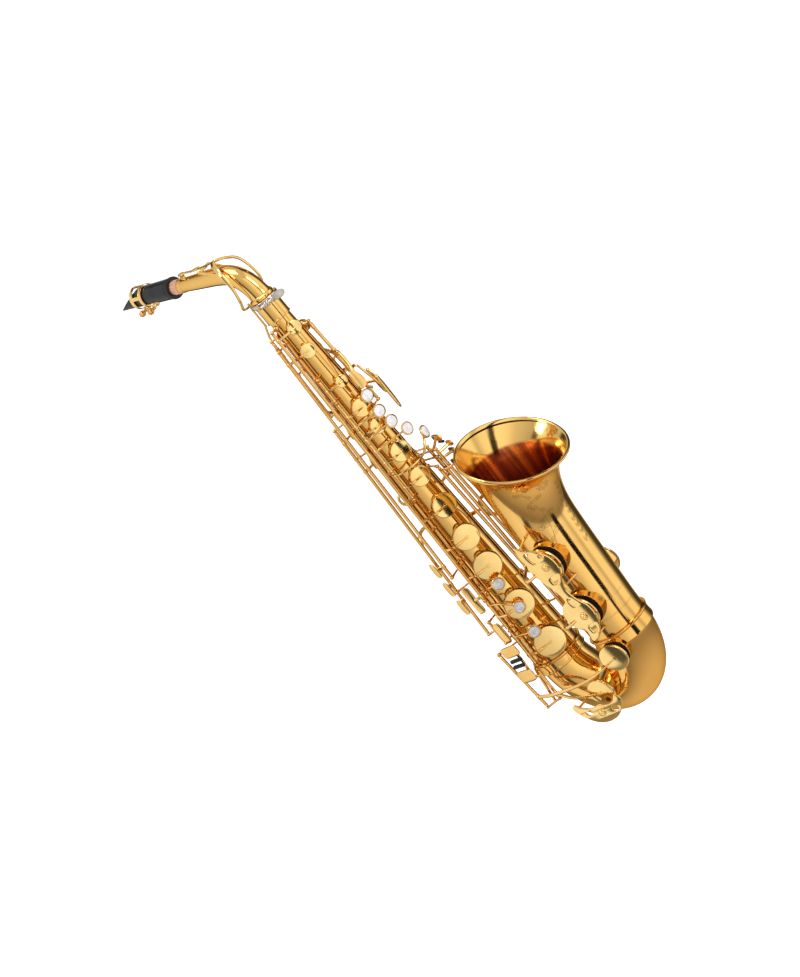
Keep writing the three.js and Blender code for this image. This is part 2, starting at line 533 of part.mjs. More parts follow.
// ---------- left-hand table: rods between body and bell ----------
const BFLAT_ROD = [V(46, -6, 198), V(33, 3, 343)];
const B_ROD = [V(50, -4, 128), V(37, 8, 351)];
const CSHARP_ROD = [V(54, 3, 152), V(42, 8, 359)];
const GS_ROD = [P(-24, 34, 330), P(-24, 33, 364)];
const onRod = ([p, q], z) => p.clone().lerp(q, (z - p.z) / (q.z - p.z));
function bellKey(name, rod, z, r, side, via, pad, open, travel) {
  const mouth = bellMouth(z, side);
  const n = V(0, side, 0);
  const cup = disc(mouth.clone().addScaledVector(n, GAP), n, r + 1, CUP, 16);
  const top = mouth.clone().addScaledVector(n, GAP + CUP + 0.6);
  const n1 = via[0].clone().sub(onRod(rod, via[0].z));
  return key(name, rod[0], rod[1], [cup,
    bar(onRod(rod, via[0].z), via[0], 3.4, 3, UPWARD.clone().cross(n1)), bars([...via, top], 4, 2.6),
    bars([onRod(rod, rod[1].z - 3), ...pad.path], 3.6, 2.4), touch(pad.path[pad.path.length - 1], pad.n, pad.along,
      pad.long, pad.wide, 2.4)], { open, travel, out: n, probe: mouth });
}
const tableFace = P(-58, 1, 0);
bellKey('key_low_bflat', BFLAT_ROD, ...BELL_HOLES.low_bflat, -1, [V(66, -42, 201), V(84, -45, 204)],
  { path: [P(0, 41, 339), P(-6, 50, 338), P(-12, 51, 338)], n: tableFace, along: P(30, 1, 0), long: 20, wide: 8 }, 4, 4);
bellKey('key_low_b', B_ROD, ...BELL_HOLES.low_b, -1, [V(66, -41, 133), V(84, -44, 137)],
  { path: [V(40, 16, 347), P(-23, 53, 347)], n: tableFace, along: P(30, 1, 0), long: 22, wide: 8 }, 4, 4);
bellKey('key_low_csharp', CSHARP_ROD, ...CSHARP, 1, [V(62, 38, 156), V(80, 44, 154)],
  { path: [P(-24, 55, 355.5)], n: tableFace, along: P(30, 1, 0), long: 15, wide: 7 }, 0, 4.5);
{
  const c = P(-23, 48, 368.5);
  const rollerC = P(-24, 49, 362);
  const axis = P(30, 1, 0);
  key('lever_g_sharp', GS_ROD[0], GS_ROD[1], [touch(c, tableFace, P(30, 1, 0), 22, 8, 2.4),
    bars([GS_ROD[1].clone().add(V(0, 0, -4)), P(-25, 39, 361.5), P(-24, 45, 367), c], 3.2, 2.4),
    bar(GS_ROD[0].clone().add(V(0, 0, 2)), P(-2, 27.5, 329), 3, 2.4, V(0, 0, 1))],
  { open: 0, travel: 7, out: P(30, -1, 0), probe: P(-2, 27.5, 329) },
  [['table_roller', cyl(rollerC.clone().addScaledVector(axis, -6), rollerC.clone().addScaledVector(axis, 6), 1.6, 10),
    BLACK]]);
}

// ---------- right-hand little finger: low E flat and low C ----------
const EFLAT_ROD = [P(100, 41, 62), P(100, 39.5, 100)];
const C_ROD = [P(125, 49.5, 58), P(125, 54, 136)];
{
  const aim = P(96, 1, 0);
  const across = UPWARD.clone().cross(aim);
  const bowCup = ({ c, n, r }) => disc(c.clone().addScaledVector(n, GAP), n, r + 1, CUP, 16);
  const e = BOW_HOLES.low_eflat;
  const eTop = e.c.clone().addScaledVector(e.n, GAP + CUP + 0.4);
  const ePad = P(106, 49, 136);
  const roller = (z, phi) => {
    const c = P(phi, 49.3, z);
    return cyl(c.clone().addScaledVector(across, -8), c.clone().addScaledVector(across, 8), 2.3, 10);
  };
  key('key_low_eflat', ...EFLAT_ROD, [bowCup(e), bars([onRod(EFLAT_ROD, 66), V(12, -42.5, 54), eTop], 4, 2.4),
    touch(ePad.clone().add(V(0, 0, 1)), aim, across, 24, 14, 2.2),
    bars([onRod(EFLAT_ROD, 93), P(106, 44.6, 98), P(105, 44.6, 128), ePad.clone().add(V(0, 1.2, 4))], 3.6, 2.4)],
  { open: 0, travel: 5, out: e.n, probe: e.c }, [['pinky_roller_upper', roller(124.9, 107), BLACK]]);
  const c = BOW_HOLES.low_c;
  const cTop = c.c.clone().addScaledVector(c.n, GAP + CUP + 0.4);
  const cPad = P(110, 49.5, 103);
  key('key_low_c', ...C_ROD, [bowCup(c), bars([onRod(C_ROD, 72), V(-4, -47.5, 71), V(42, -46.5, 70),
    V(74, -46.5, 76), cTop], 4, 2.4), touch(cPad, aim, across, 24, 16, 2.2),
  bar(onRod(C_ROD, 104), cPad, 4, 2.4, aim)],
  { open: 2.6, travel: 2.6, out: c.n, probe: c.c }, [['pinky_roller_lower', roller(117.6, 109), BLACK]]);
}

// ---------- thumb octave lever with the body vent and the pin for the neck key ----------
{
  const cup = cupOf('octave');
  const pad = P(184, bodyR(452) + 9, 448);
  key('lever_thumb_octave', on(OCTAVE, 458), on(OCTAVE, 556), [cup.solid, armTo(cup, OCTAVE.phi, OCTAVE.r(cup.z)),
    bars([on(OCTAVE, 462), P(166, bodyR(458) + 10, 457), pad], 4, 2.4),
    touch(pad, P(184, 1, 0), UPWARD, 16, 14, 2.4),
    bars([on(OCTAVE, 551), P(158, 23.5, 560), P(170, 20.2, 574)], 3, 2.2),
    cyl(P(170, 20, 572), P(170, 19.4, 604), 1.2, 8)],
  { open: 0, travel: 3.5, out: cup.n, probe: cup.centre });
}

// ---------- neck, mouthpiece, ligature ----------
const neckGroup = new THREE.Group();
neckGroup.rotation.z = Math.PI - rad(NECK_TURN);
root.add(neckGroup);
const N = (u, w, z) => V(u, w, z);            // neck frame: u along the neck, w to its side
const neckCurve = new THREE.CatmullRomCurve3(NECK_PATH.map(([u, z]) => V(u, 0, z)), false, 'centripetal');
const neckLength = neckCurve.getLength();
function neckAt(s) {
  const t = s / neckLength;
  const c = Math.min(1, Math.max(0, t));
  const tangent = s <= 25 ? V(0, 0, 1) : neckCurve.getTangentAt(c);
  const point = neckCurve.getPointAt(c).addScaledVector(tangent, (t - c) * neckLength);
  return { point, tangent, side: V(0, 1, 0) };
}
function neckPart() {
  const outer = [[0, 11.9], [20.4, 11.9], [20.6, 14.2], [24.4, 14.2], [24.6, 12.2]];
  const sleeve = neckLength - CORK.length - 1;
  for (let s = 34; s < sleeve - 6; s += 15) outer.push([s, lerp(NECK_R, s)]);
  outer.push([sleeve, lerp(NECK_R, sleeve)], [sleeve + 0.4, CORK.ri - GAP], [neckLength, CORK.ri - GAP]);
  const inner = [[-1, 10.9], [26, 10.9], ...outer.slice(5, -1).map(([s, r]) => [s, r - 1]), [neckLength + 1, 5.5]];
  const vent = neckAt(135);
  const up = vent.tangent.clone().cross(vent.side);
  const at = (d) => vent.point.clone().addScaledVector(up, d);
  return cut(join([bentSolid(outer, neckAt, 14), cyl(at(6), at(11), 2.6, 8)]),
    [bentSolid(inner, neckAt, 14), cyl(at(4), at(12), 1, 8)]);
}
mesh('neck', neckPart(), BRASS, neckGroup);

const END = neckAt(neckLength);
const endPoint = (d) => END.point.clone().addScaledVector(END.tangent, d);
mesh('neck_cork', lathe([[CORK.ri, 0], [CORK.ro, 0], [CORK.ro, CORK.length - 0.5], [CORK.ri, CORK.length - 0.5],
  [CORK.ri, 0]], endPoint(-CORK.length), END.tangent, 16), CORK_SKIN, neckGroup);

{
  const M = MOUTHPIECE;
  const piece = new THREE.Group();
  const start = endPoint(-M.inset);
  const z = END.tangent.clone();
  const x = V(0, 1, 0);
  piece.position.copy(start);
  piece.quaternion.setFromRotationMatrix(new THREE.Matrix4().makeBasis(x, z.clone().cross(x), z));
  neckGroup.add(piece);
  // In this frame z runs to the tip and +y is up when y = z cross x points up.
  const up = Math.sign(z.clone().cross(x).z);
  const Z = V(0, 0, 1);
  const box = (w, h, d, y, zc, x0 = 0) => {
    const g = new THREE.BoxGeometry(w, h, d);
    g.translate(x0, y, zc);
    return solid(g);
  };
  const table = -7.4 * up;
  const outer = lathe([[0, 0], [12.4, 0], [12.4, 3], [11.7, 3.4], [11.3, 24], [10.9, 60], [10.4, M.length],
    [0, M.length]], V(0, 0, 0), Z, 20);
  const slope = Math.atan2(16, M.beak) * up;
  const wedge = new THREE.BoxGeometry(30, 20, 70);
  wedge.translate(0, 10 * up, 0);
  wedge.rotateX(slope);
  wedge.translate(0, (table * up + 1.2) * up, M.length);
  const bore = lathe([[0, -1], [8.35, -1], [8.35, 20], [6.2, 21], [6, M.length - 24], [0, M.length - 24]],
    V(0, 0, 0), Z, 16);
  const flat = box(30, 10, 62, table - 5 * up, M.length - 31 + 0.5);
  const windowCut = box(9, 7, 26, table + 1.5 * up, M.length - 16);
  mesh('mouthpiece', cut(outer, [bore, solid(wedge), flat, windowCut]), BLACK, piece);
  const reedShape = new THREE.Shape([[33, 0], [M.length - 0.5, 0], [M.length - 0.5, 0.3], [M.length - 26, 2],
    [33, 2.2]].map(([a, b]) => new THREE.Vector2(a, b)));
  const reedGeo = new THREE.ExtrudeGeometry(reedShape, { depth: 12.4, bevelEnabled: false });
  reedGeo.applyMatrix4(new THREE.Matrix4().makeBasis(V(0, 0, 1), V(0, -up, 0), V(up, 0, 0)));
  reedGeo.translate(-6.2 * up, table - GAP * up, 0);
  mesh('reed', solid(reedGeo), CANE, piece);
  const band = (zc) => lathe([[12, 0], [13, 0], [13, 5], [12, 5], [12, 0]], V(0, 0, zc), Z, 16);
  const strap = (a) => box(1.3, 4.4, 21, 12.4 * Math.sin(a), 55.5, 12.4 * Math.cos(a));
  const lug = (zc, sx) => box(2, 5.4, 4.6, -14.6 * up, zc, sx);
  const knobs = [48, 63];
  const ligature = join([band(45.5), band(60.5), strap(0.35 * up), strap(Math.PI - 0.35 * up),
    ...knobs.flatMap((zc) => [lug(zc, -3), lug(zc, 3)])]);
  const holes = knobs.map((zc) => cyl(V(-8, -15.4 * up, zc), V(8, -15.4 * up, zc), 1.3, 8));
  mesh('ligature', cut(ligature, holes), BRASS, piece);
  knobs.forEach((zc, i) => {
    const c = (t) => V(t, -15.4 * up, zc);
    const screw = join([cyl(c(-6), c(7), 0.95, 8), lathe([[0, 0], [1.6, 0], [3.4, 3], [3.6, 7], [2.6, 9], [0, 9.4]],
      c(4.4), V(1, 0, 0), 12)]);
    mesh(i === 0 ? 'ligature_screw_rear' : 'ligature_screw_front', screw, BRASS, piece);
  });
}

// The neck octave key: a strap along the top, a cup on the vent, a closed loop round the tenon for the pin.
{
  const pivot = N(47, 0, 658);
  const vent = neckAt(135);
  const up = vent.tangent.clone().cross(vent.side);
  const cupBase = vent.point.clone().addScaledVector(up, 11 + GAP);
  const loop = [N(27, 0, 659), N(12, -14.5, 649), N(6, -18.5, 630), N(9, -20, 612), N(19, -15, 602), N(26, 0, 599),
    N(19, 15, 602), N(9, 20, 612), N(6, 18.5, 630), N(12, 14.5, 649)];
  const curve = new THREE.CatmullRomCurve3(loop, true, 'centripetal');
  const section = new THREE.Shape([[-1.6, -1], [1.6, -1], [1.6, 1], [-1.6, 1]].map(([a, b]) => new THREE.Vector2(a, b)));
  const g = new THREE.ExtrudeGeometry(section, { steps: 24, extrudePath: curve, bevelEnabled: false });
  const swing = join([solid(g), cyl(pivot.clone().add(N(0, -7, 0)), pivot.clone().add(N(0, 7, 0)), 1.8, 8),
    bars([N(26.5, 0, 659), pivot.clone().add(N(-4, 0, 1.4)), N(66, 0, 661), cupBase.clone().addScaledVector(up, 3)],
      6, 1.8), disc(cupBase, up, 4.2, 3, 12)]);
  const node = mesh('key_neck_octave', swing, BRASS, neckGroup);
  node.userData = { pivot: pivot.toArray() };
}

// ---------- ribs with posts: each holds rod ends over the tube ----------
function rib(phi, z0, z1, width = 5) {
  const at = (z) => P(phi, bodyR(z) + GAP + 0.75, z);
  return bar(at(z0 + 1.5), at(z1 - 1.5), width, 1.3, P(phi, 1, 0));
}
function post(ribPhi, head, along, reach = 1.4, footZ = head.z) {
  const d = along.clone().normalize();
  const foot = P(ribPhi, bodyR(footZ) + GAP + 0.9, footZ);
  return [cyl(foot, head, 1.5, 4), cyl(head.clone().addScaledVector(d, -reach), head.clone().addScaledVector(d, reach),
    2.5)];
}
const slope = (line) => onLine(line, 400).sub(onLine(line, 300));
const tilt = (line) => on(line, 400).sub(on(line, 300));
const RIB = { stack: 101, side: 126, left: -18, palm: -76 };
mesh('stack_posts', join([
  rib(RIB.stack, 102, 571),
  ...[334.8, 371, 468, 499.2].flatMap((z) => post(RIB.stack, onLine(UP, z), slope(UP), z === 371 ? 1.2 : 1.4)),
  ...[105.7, 155, 200.4, 250, 294, 330.3].flatMap((z) => post(RIB.stack, onLine(LOW, z), slope(LOW), 1.3)),
  cyl(onLine(LOW, 200.4), on(HIGH_FS, 201.4), 1.4),
  cyl(on(HIGH_FS, 200.2), on(HIGH_FS, 203), 2.5, 8),
  ...post(RIB.stack, on(HIGH_FS, 569), tilt(HIGH_FS), 1.4, 567),
]), BRASS);
function pinkyFrame() {                       // carries both little-finger rods below the end of the rib
  const [a, b, c] = [onRod(EFLAT_ROD, 59.8), onRod(C_ROD, 55.8), onRod(EFLAT_ROD, 102.2)];
  const head = (p, rod) => {
    const d = rod[1].clone().sub(rod[0]).normalize();
    return cyl(p.clone().addScaledVector(d, -1.4), p.clone().addScaledVector(d, 1.4), 2.5);
  };
  const spine = [P(RIB.side, bodyR(103) + 2.2, 103), P(118, 34.5, 98), P(112, 38.5, 84), P(109, 43.5, 59)];
  return [bars(spine, 3, 3), cyl(spine[1], c, 1.5, 4), cyl(spine[3], a, 1.5, 4), cyl(spine[3], b, 1.5, 4),
    head(a, EFLAT_ROD), head(b, C_ROD), head(c, EFLAT_ROD)];
}
const sidePost = (line, z, footZ = z) => post(RIB.side, on(line, z), tilt(line), 1.4, footZ);
mesh('side_key_posts', join([
  rib(RIB.side, 100, 562),
  ...sidePost(HIGH_E, 240.8), ...sidePost(HIGH_E, 547.2), ...sidePost(SIDE_C, 219.8), ...sidePost(SIDE_C, 442.2),
  ...sidePost(SIDE_B, 157.8), ...sidePost(SIDE_B, 402.2), ...sidePost(OCTAVE, 455.8), ...sidePost(OCTAVE, 558.2),
  ...post(RIB.side, P(118, 41, 143.8), V(0, 0, 1)), ...post(RIB.side, P(118, 41, 174.2), V(0, 0, 1)),
  ...post(RIB.side, onRod(C_ROD, 138.2), C_ROD[1].clone().sub(C_ROD[0]), 1.4, 134),
  ...pinkyFrame(),
]), BRASS);
const leftPost = (p, other, footZ = p.z) => post(RIB.left, p, other.clone().sub(p), 1.4, footZ);
const beyond = ([p, q], end, gap = 2) => {
  const d = q.clone().sub(p).normalize();
  return end === 0 ? p.clone().addScaledVector(d, -gap) : q.clone().addScaledVector(d, gap);
};
const palmLine = (phi, h) => (z) => P(phi, bodyR(z) + h, z);
const palmPost = (ribPhi, f, z) => post(ribPhi, f(z), f(z + 1).sub(f(z)), 1.4, Math.min(z, ribPhi < -50 ? 509 : z));
mesh('left_posts', join([
  rib(RIB.left, 120, 560), rib(RIB.palm, 447, 511),
  bars([RIB.left, -31, -44, -57, RIB.palm].map((phi, i) => P(phi, bodyR(485) + (i % 4 ? 3.6 : 1.6), 485)), 2.6, 2.6),
  ...[[RIB.left, palmLine(-34, 7.5), 506, 549], [RIB.palm, palmLine(-64, 7.5), 476, 506],
    [RIB.palm, palmLine(-94, 7.5), 452, 496], [RIB.left, palmLine(-44, 8), 440, 468]].flatMap(([r, f, a, b]) => [
    ...palmPost(r, f, a - 2.2), ...palmPost(r, f, b + 2.2)]),
  ...[GS_ROD, BFLAT_ROD, B_ROD, CSHARP_ROD].flatMap((rod) => [0, 1].flatMap((end) => leftPost(beyond(rod, end),
    rod[1 - end], beyond(rod, end).z + (end ? 4 : -2)))),
]), BRASS);

// ---------- key guards ----------
function plateWithHoles(points, holes, thick, origin) {   // in the XZ plane, thickness towards -Y
  const shape = new THREE.Shape(points.map(([x, z]) => new THREE.Vector2(x, z)));
  for (const list of holes) shape.holes.push(new THREE.Path(list.map(([x, z]) => new THREE.Vector2(x, z))));
  const g = new THREE.ExtrudeGeometry(shape, { depth: thick, bevelEnabled: false });
  g.rotateX(Math.PI / 2);
  g.translate(0, origin, 0);
  return solid(g);
}
const moved = (list, dx, dz) => list.map(([x, z]) => [x + dx, z + dz]);
const stout = (c, depth) => cyl(V(c[0], depth, c[1]), V(c[0], depth - 5.5, c[1]), 4.6, 12);
function bellGuard() {
  const y = -55;
  const edge = [[92, 246], [99, 240], [112, 232], [121, 220], [122, 204], [114, 190], [110, 178], [113, 166],
    [120, 152], [119, 136], [112, 122], [100, 112], [95, 114], [97, 126], [94, 142], [96, 158], [100, 172],
    [97, 186], [92, 200], [91, 218], [89, 234]];
  const windows = [moved(oval(8, 13, 8), 101, 228), moved(oval(9, 11, 8), 107, 194), moved(oval(6, 12, 8), 105.5, 164),
    moved(oval(9, 11, 8), 107, 126)];
  const legs = [[[93.5, 240], 243], [[113, 184], 180], [[99.5, 116], 113]].map(([[x, z], fz]) => {
    const dx = x - bellX(fz);
    const r = bellR(fz) + GAP + 0.4;
    return cyl(V(x, y - 1, z), V(x, -Math.sqrt(r * r - dx * dx) - 0.3, fz), 1.8);
  });
  return join([plateWithHoles(edge, windows, 2, y), stout([109, 212], y + 1.6), stout([107, 144], y + 1.6), ...legs]);
}
mesh('bell_key_guard', bellGuard(), BRASS);
function lowGuard() {
  const y = -49.5;
  const edge = [[6, 47], [10, 36], [20, 23], [33, 17], [48, 18], [60, 25], [68, 37], [64, 44], [57, 38], [47, 36],
    [38, 40], [28, 39], [18, 43], [11, 50]];
  const windows = [moved(oval(9, 9, 8), 54, 29), moved(oval(7, 6, 8), 20, 34)];
  return join([plateWithHoles(edge, windows, 2, y), stout([36, 30], y + 1.4),
    cyl(V(10, y - 1, 44), V(9, -29.2, 40), 1.8), cyl(V(64.5, y - 1, 39), V(66, -32.5, 36), 1.8)]);
}
mesh('low_key_guard', lowGuard(), BRASS);

export default group;
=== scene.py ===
import math
import random

import bmesh
import bpy
from mathutils import Matrix, Vector


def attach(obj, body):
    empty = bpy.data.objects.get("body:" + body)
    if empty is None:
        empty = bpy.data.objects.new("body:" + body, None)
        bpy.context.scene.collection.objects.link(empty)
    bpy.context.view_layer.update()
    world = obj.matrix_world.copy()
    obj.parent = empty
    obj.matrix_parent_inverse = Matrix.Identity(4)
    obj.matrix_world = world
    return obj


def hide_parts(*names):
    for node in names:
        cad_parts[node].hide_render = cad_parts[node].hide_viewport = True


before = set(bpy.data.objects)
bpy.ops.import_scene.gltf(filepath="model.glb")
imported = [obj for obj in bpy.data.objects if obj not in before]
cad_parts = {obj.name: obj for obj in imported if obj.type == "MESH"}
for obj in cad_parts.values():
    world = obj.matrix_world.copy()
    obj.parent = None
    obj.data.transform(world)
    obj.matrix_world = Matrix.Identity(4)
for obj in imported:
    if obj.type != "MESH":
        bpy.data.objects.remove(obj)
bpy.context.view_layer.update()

# ---------- design dimensions, in millimetres, zero at the bottom of the bow on the body's axis ----------
SHIFT = Vector((30.0, 0.0, -330.0))
WALL = 1.1
BODY = dict(z0=92.3, z1=580.0, r0=28.0, r1=12.3)
TOP_RO = 14.6
BOW = dict(x=91.0, z=92.0, drop=61.0, r0=28.0, r1=34.0, socket=7.0)
BELL = dict(lean=4.1, tip=28.0, straight=105.0, length=237.0)
BELL_PROFILE = [(0, 34), (30, 34.4), (105, 35.4), (130, 35.8), (152, 36.3), (172, 38), (192, 41.3),
                (208, 45.8), (220, 51), (229, 56.4), (234.5, 60.3)]
RIM_R = 61.5
NECK_TURN = 12.7
NECK_PATH = [(0, 580), (0, 594), (0, 606), (2.5, 618), (9.5, 630), (21, 638.5), (37, 643), (60, 646.6),
             (90, 651.2), (127, 656.6)]
NECK_R = [(0, 11.9), (30, 11.9), (50, 11.6), (75, 10.6), (110, 9), (150, 7.4), (175, 6.6)]
CHIMNEY, CUP, ROD, GAP = 3.2, 4.2, 1.9, 0.3
HOLES = dict(
    high_f_sharp=(558, 33, 7.2), high_e=(530, 47, 7.6), c=(483, 29, 6.2), b=(448, 35, 9.6),
    bis=(422, 32, 8.2), a=(385, 30, 11), g=(351, 34, 10.6), g_sharp=(309, 35, 13), f_sharp=(268, 42, 14),
    f=(229, 46, 15), e=(174, 47, 16), d=(120, 48, 17), palm_f=(548, -76, 6.2), palm_eflat=(520, -104, 6.8),
    palm_d=(494, -134, 7.2), side_c=(425, 172, 7.6), side_bflat=(385, 172, 8.4), octave=(512, 166, 3.2))
BELL_HOLES = dict(low_bflat=(209, 20.5), low_b=(141, 20.5))
CSHARP = (150, 16)


def V(x, y, z):
    return Vector((x, y, z))


def rad(d):
    return math.radians(d)


def body_r(z):
    return BODY["r1"] + (BODY["r0"] - BODY["r1"]) * (BODY["z1"] - z) / (BODY["z1"] - BODY["z0"])


def P(phi, r, z):
    return V(r * math.cos(rad(phi)), -r * math.sin(rad(phi)), z)


def table(rows, s):
    for (a, u), (b, v) in zip(rows, rows[1:]):
        if s <= b:
            return u + (v - u) * min(1, max(0, (s - a) / (b - a)))
    return rows[-1][1]


def spline_table(rows, s):
    """Smooth reading of a table: a Catmull-Rom curve through its rows."""
    n = len(rows)
    i = 0
    while i < n - 2 and rows[i + 1][0] < s:
        i += 1
    (a, u), (b, v) = rows[i], rows[i + 1]
    t = min(1, max(0, (s - a) / (b - a)))
    left = (v - rows[i - 1][1]) / (b - rows[i - 1][0]) if i > 0 else (v - u) / (b - a)
    right = (rows[i + 2][1] - u) / (rows[i + 2][0] - a) if i + 2 < n else (v - u) / (b - a)
    h = b - a
    return ((2 * t**3 - 3 * t**2 + 1) * u + (t**3 - 2 * t**2 + t) * h * left
            + (-2 * t**3 + 3 * t**2) * v + (t**3 - t**2) * h * right)


def unit(v):
    return v.normalized()


def steps(n):
    """Even steps from 0 to 1, both included."""
    return [i / n for i in range(n + 1)]


def circle(n):
    """The corners of a regular polygon of radius 1, as (cosine, sine)."""
    return [(math.cos(2 * math.pi * k / n), math.sin(2 * math.pi * k / n)) for k in range(n)]


Z = V(0, 0, 1)


# ---------- mesh building ----------
class Shape:
    """Vertices and faces in design millimetres; each face has a material number."""

    def __init__(self):
        self.verts, self.faces, self.mats = [], [], []

    def add(self, verts, faces, mat=0):
        k = len(self.verts)
        self.verts += [Vector(v) for v in verts]
        self.faces += [[k + i for i in f] for f in faces]
        self.mats += [mat] * len(faces)
        return self

    def turn(self, matrix):
        self.verts = [matrix @ v for v in self.verts]
        return self

    def join(self, other):
        self.add(other.verts, other.faces)
        self.mats[-len(other.faces):] = other.mats
        return self


def grid(sh, rings, mat=0, close=False, cap0=True, cap1=True):
    """Rings of equal point count, joined one to the next."""
    n = len(rings[0])
    verts = [v for r in rings for v in r]
    faces = []
    m = len(rings)
    for i in range(m if close else m - 1):
        j = (i + 1) % m
        for k in range(n):
            q = (k + 1) % n
            faces.append([i * n + k, i * n + q, j * n + q, j * n + k])
    if not close and cap0:
        faces.append([k for k in range(n)][::-1])
    if not close and cap1:
        faces.append([(m - 1) * n + k for k in range(n)])
    sh.add(verts, faces, mat)


def revolve(sh, profile, base, axis, seg=40, mat=0, close=False, cap=True):
    q = Z.rotation_difference(unit(axis))
    rings = []
    for r, h in profile:
        r = max(r, 1e-3)
        rings.append([base + q @ V(r * c, r * s, h) for c, s in circle(seg)])
    grid(sh, rings, mat, close, cap, cap)


def smooth_path(points, step=1.5, closed=False):
    """Centripetal-like Catmull-Rom resampling."""
    pts = [Vector(p) for p in points]
    out = []
    n = len(pts)
    last = n if closed else n - 1
    for i in range(last):
        p1, p2 = pts[i], pts[(i + 1) % n]
        p0 = pts[(i - 1) % n] if closed or i > 0 else p1 + (p1 - p2)
        p3 = pts[(i + 2) % n] if closed or i + 2 < n else p2 + (p2 - p1)
        d = (p2 - p1).length
        m1 = (p2 - p0) * (d / max(1e-6, (p1 - p0).length + d))
        m2 = (p3 - p1) * (d / max(1e-6, (p3 - p2).length + d))
        k = max(2, int(d / step))
        for j in range(k):
            t = j / k
            out.append((2 * t**3 - 3 * t**2 + 1) * p1 + (t**3 - 2 * t**2 + t) * m1
                       + (-2 * t**3 + 3 * t**2) * p2 + (t**3 - t**2) * m2)
    if not closed:
        out.append(pts[-1])
    return out


def superellipse(w, t, n=12, power=3.0):
    out = []
    for k in range(n):
        a = 2 * math.pi * (k + 0.5) / n
        c, s = math.cos(a), math.sin(a)
        e = 2 / power
        out.append((0.5 * w * math.copysign(abs(c)**e, c), 0.5 * t * math.copysign(abs(s)**e, s)))
    return out


def sweep(sh, pts, width, thick, up, mat=0, closed=False, n=12, power=3.0):
    """A rounded bar along a path; width and thick are numbers or functions of 0..1, up is the thin way."""
    m = len(pts)
    rings = []
    for i, p in enumerate(pts):
        a = pts[(i - 1) % m] if closed or i else p
        b = pts[(i + 1) % m] if closed or i < m - 1 else p
        t = unit(b - a)
        u = up(p) if callable(up) else up
        side = u.cross(t)
        if side.length < 1e-4:
            side = V(1, 0, 0).cross(t)
        side.normalize()
        nrm = t.cross(side)
        f = i / (m - 1)
        w = width(f) if callable(width) else width
        k = thick(f) if callable(thick) else thick
        rings.append([p + side * x + nrm * y for x, y in superellipse(w, k, n, power)])
    grid(sh, rings, mat, closed)


def rod(sh, p, q, r, seg=20, mat=0, ends=0.4):
    d = q - p
    n = d.length
    revolve(sh, [(0, 0), (r - ends, 0), (r, ends), (r, n - ends), (r - ends, n), (0, n)], p, d, seg, mat)


def sphere(sh, c, r, axis=Z, seg=20, mat=0, rows=10, flat=1.0):
    prof = [(r * math.sin(math.pi * t), -r * flat * math.cos(math.pi * t)) for t in steps(rows)]
    revolve(sh, prof, c, axis, seg, mat)


def plate(sh, c, n, along, long, wide, thick, mat=0, power=3.4, seg=32, dome=0.35, outline=None):
    """A touch plate with a rounded outline, soft edges and a slightly raised face."""
    n = unit(n)
    x = unit(along - n * along.dot(n))
    y = n.cross(x)
    ring = outline or superellipse(long, wide, seg, power)
    rings = []
    for k, h in ((0.0, -0.5), (0.9, -0.5), (0.985, -0.32), (1, -0.05), (1, 0.2), (0.97, 0.42), (0.9, 0.5)):
        k = max(k, 1e-3)
        rings.append([c + x * (a * k) + y * (b * k) + n * (h * thick) for a, b in ring])
    for k in (0.7, 0.4, 1e-3):
        lift = n * (0.5 * thick + dome * (1 - k * k))
        rings.append([c + x * (a * k) + y * (b * k) + lift for a, b in ring])
    grid(sh, rings, mat, cap0=False, cap1=False)


def make(name, sh, mats, body, replaces=(), angle=38):
    """One finished object from a shape: metres, row frame, smooth faces with sharp edges kept."""
    me = bpy.data.meshes.new(name)
    me.from_pydata([(v + SHIFT) * 0.001 for v in sh.verts], [], sh.faces)
    for m in mats:
        me.materials.append(m)
    me.polygons.foreach_set("material_index", sh.mats)
    bm = bmesh.new()
    bm.from_mesh(me)
    bmesh.ops.remove_doubles(bm, verts=bm.verts, dist=2e-6)
    bmesh.ops.recalc_face_normals(bm, faces=bm.faces)
    bm.to_mesh(me)
    bm.free()
    me.polygons.foreach_set("use_smooth", [True] * len(me.polygons))
    me.set_sharp_from_angle(angle=rad(angle))
    ob = bpy.data.objects.new(name, me)
    bpy.context.scene.collection.objects.link(ob)
    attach(ob, body)
    if replaces:
        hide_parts(*([replaces] if isinstance(replaces, str) else replaces))
    return ob


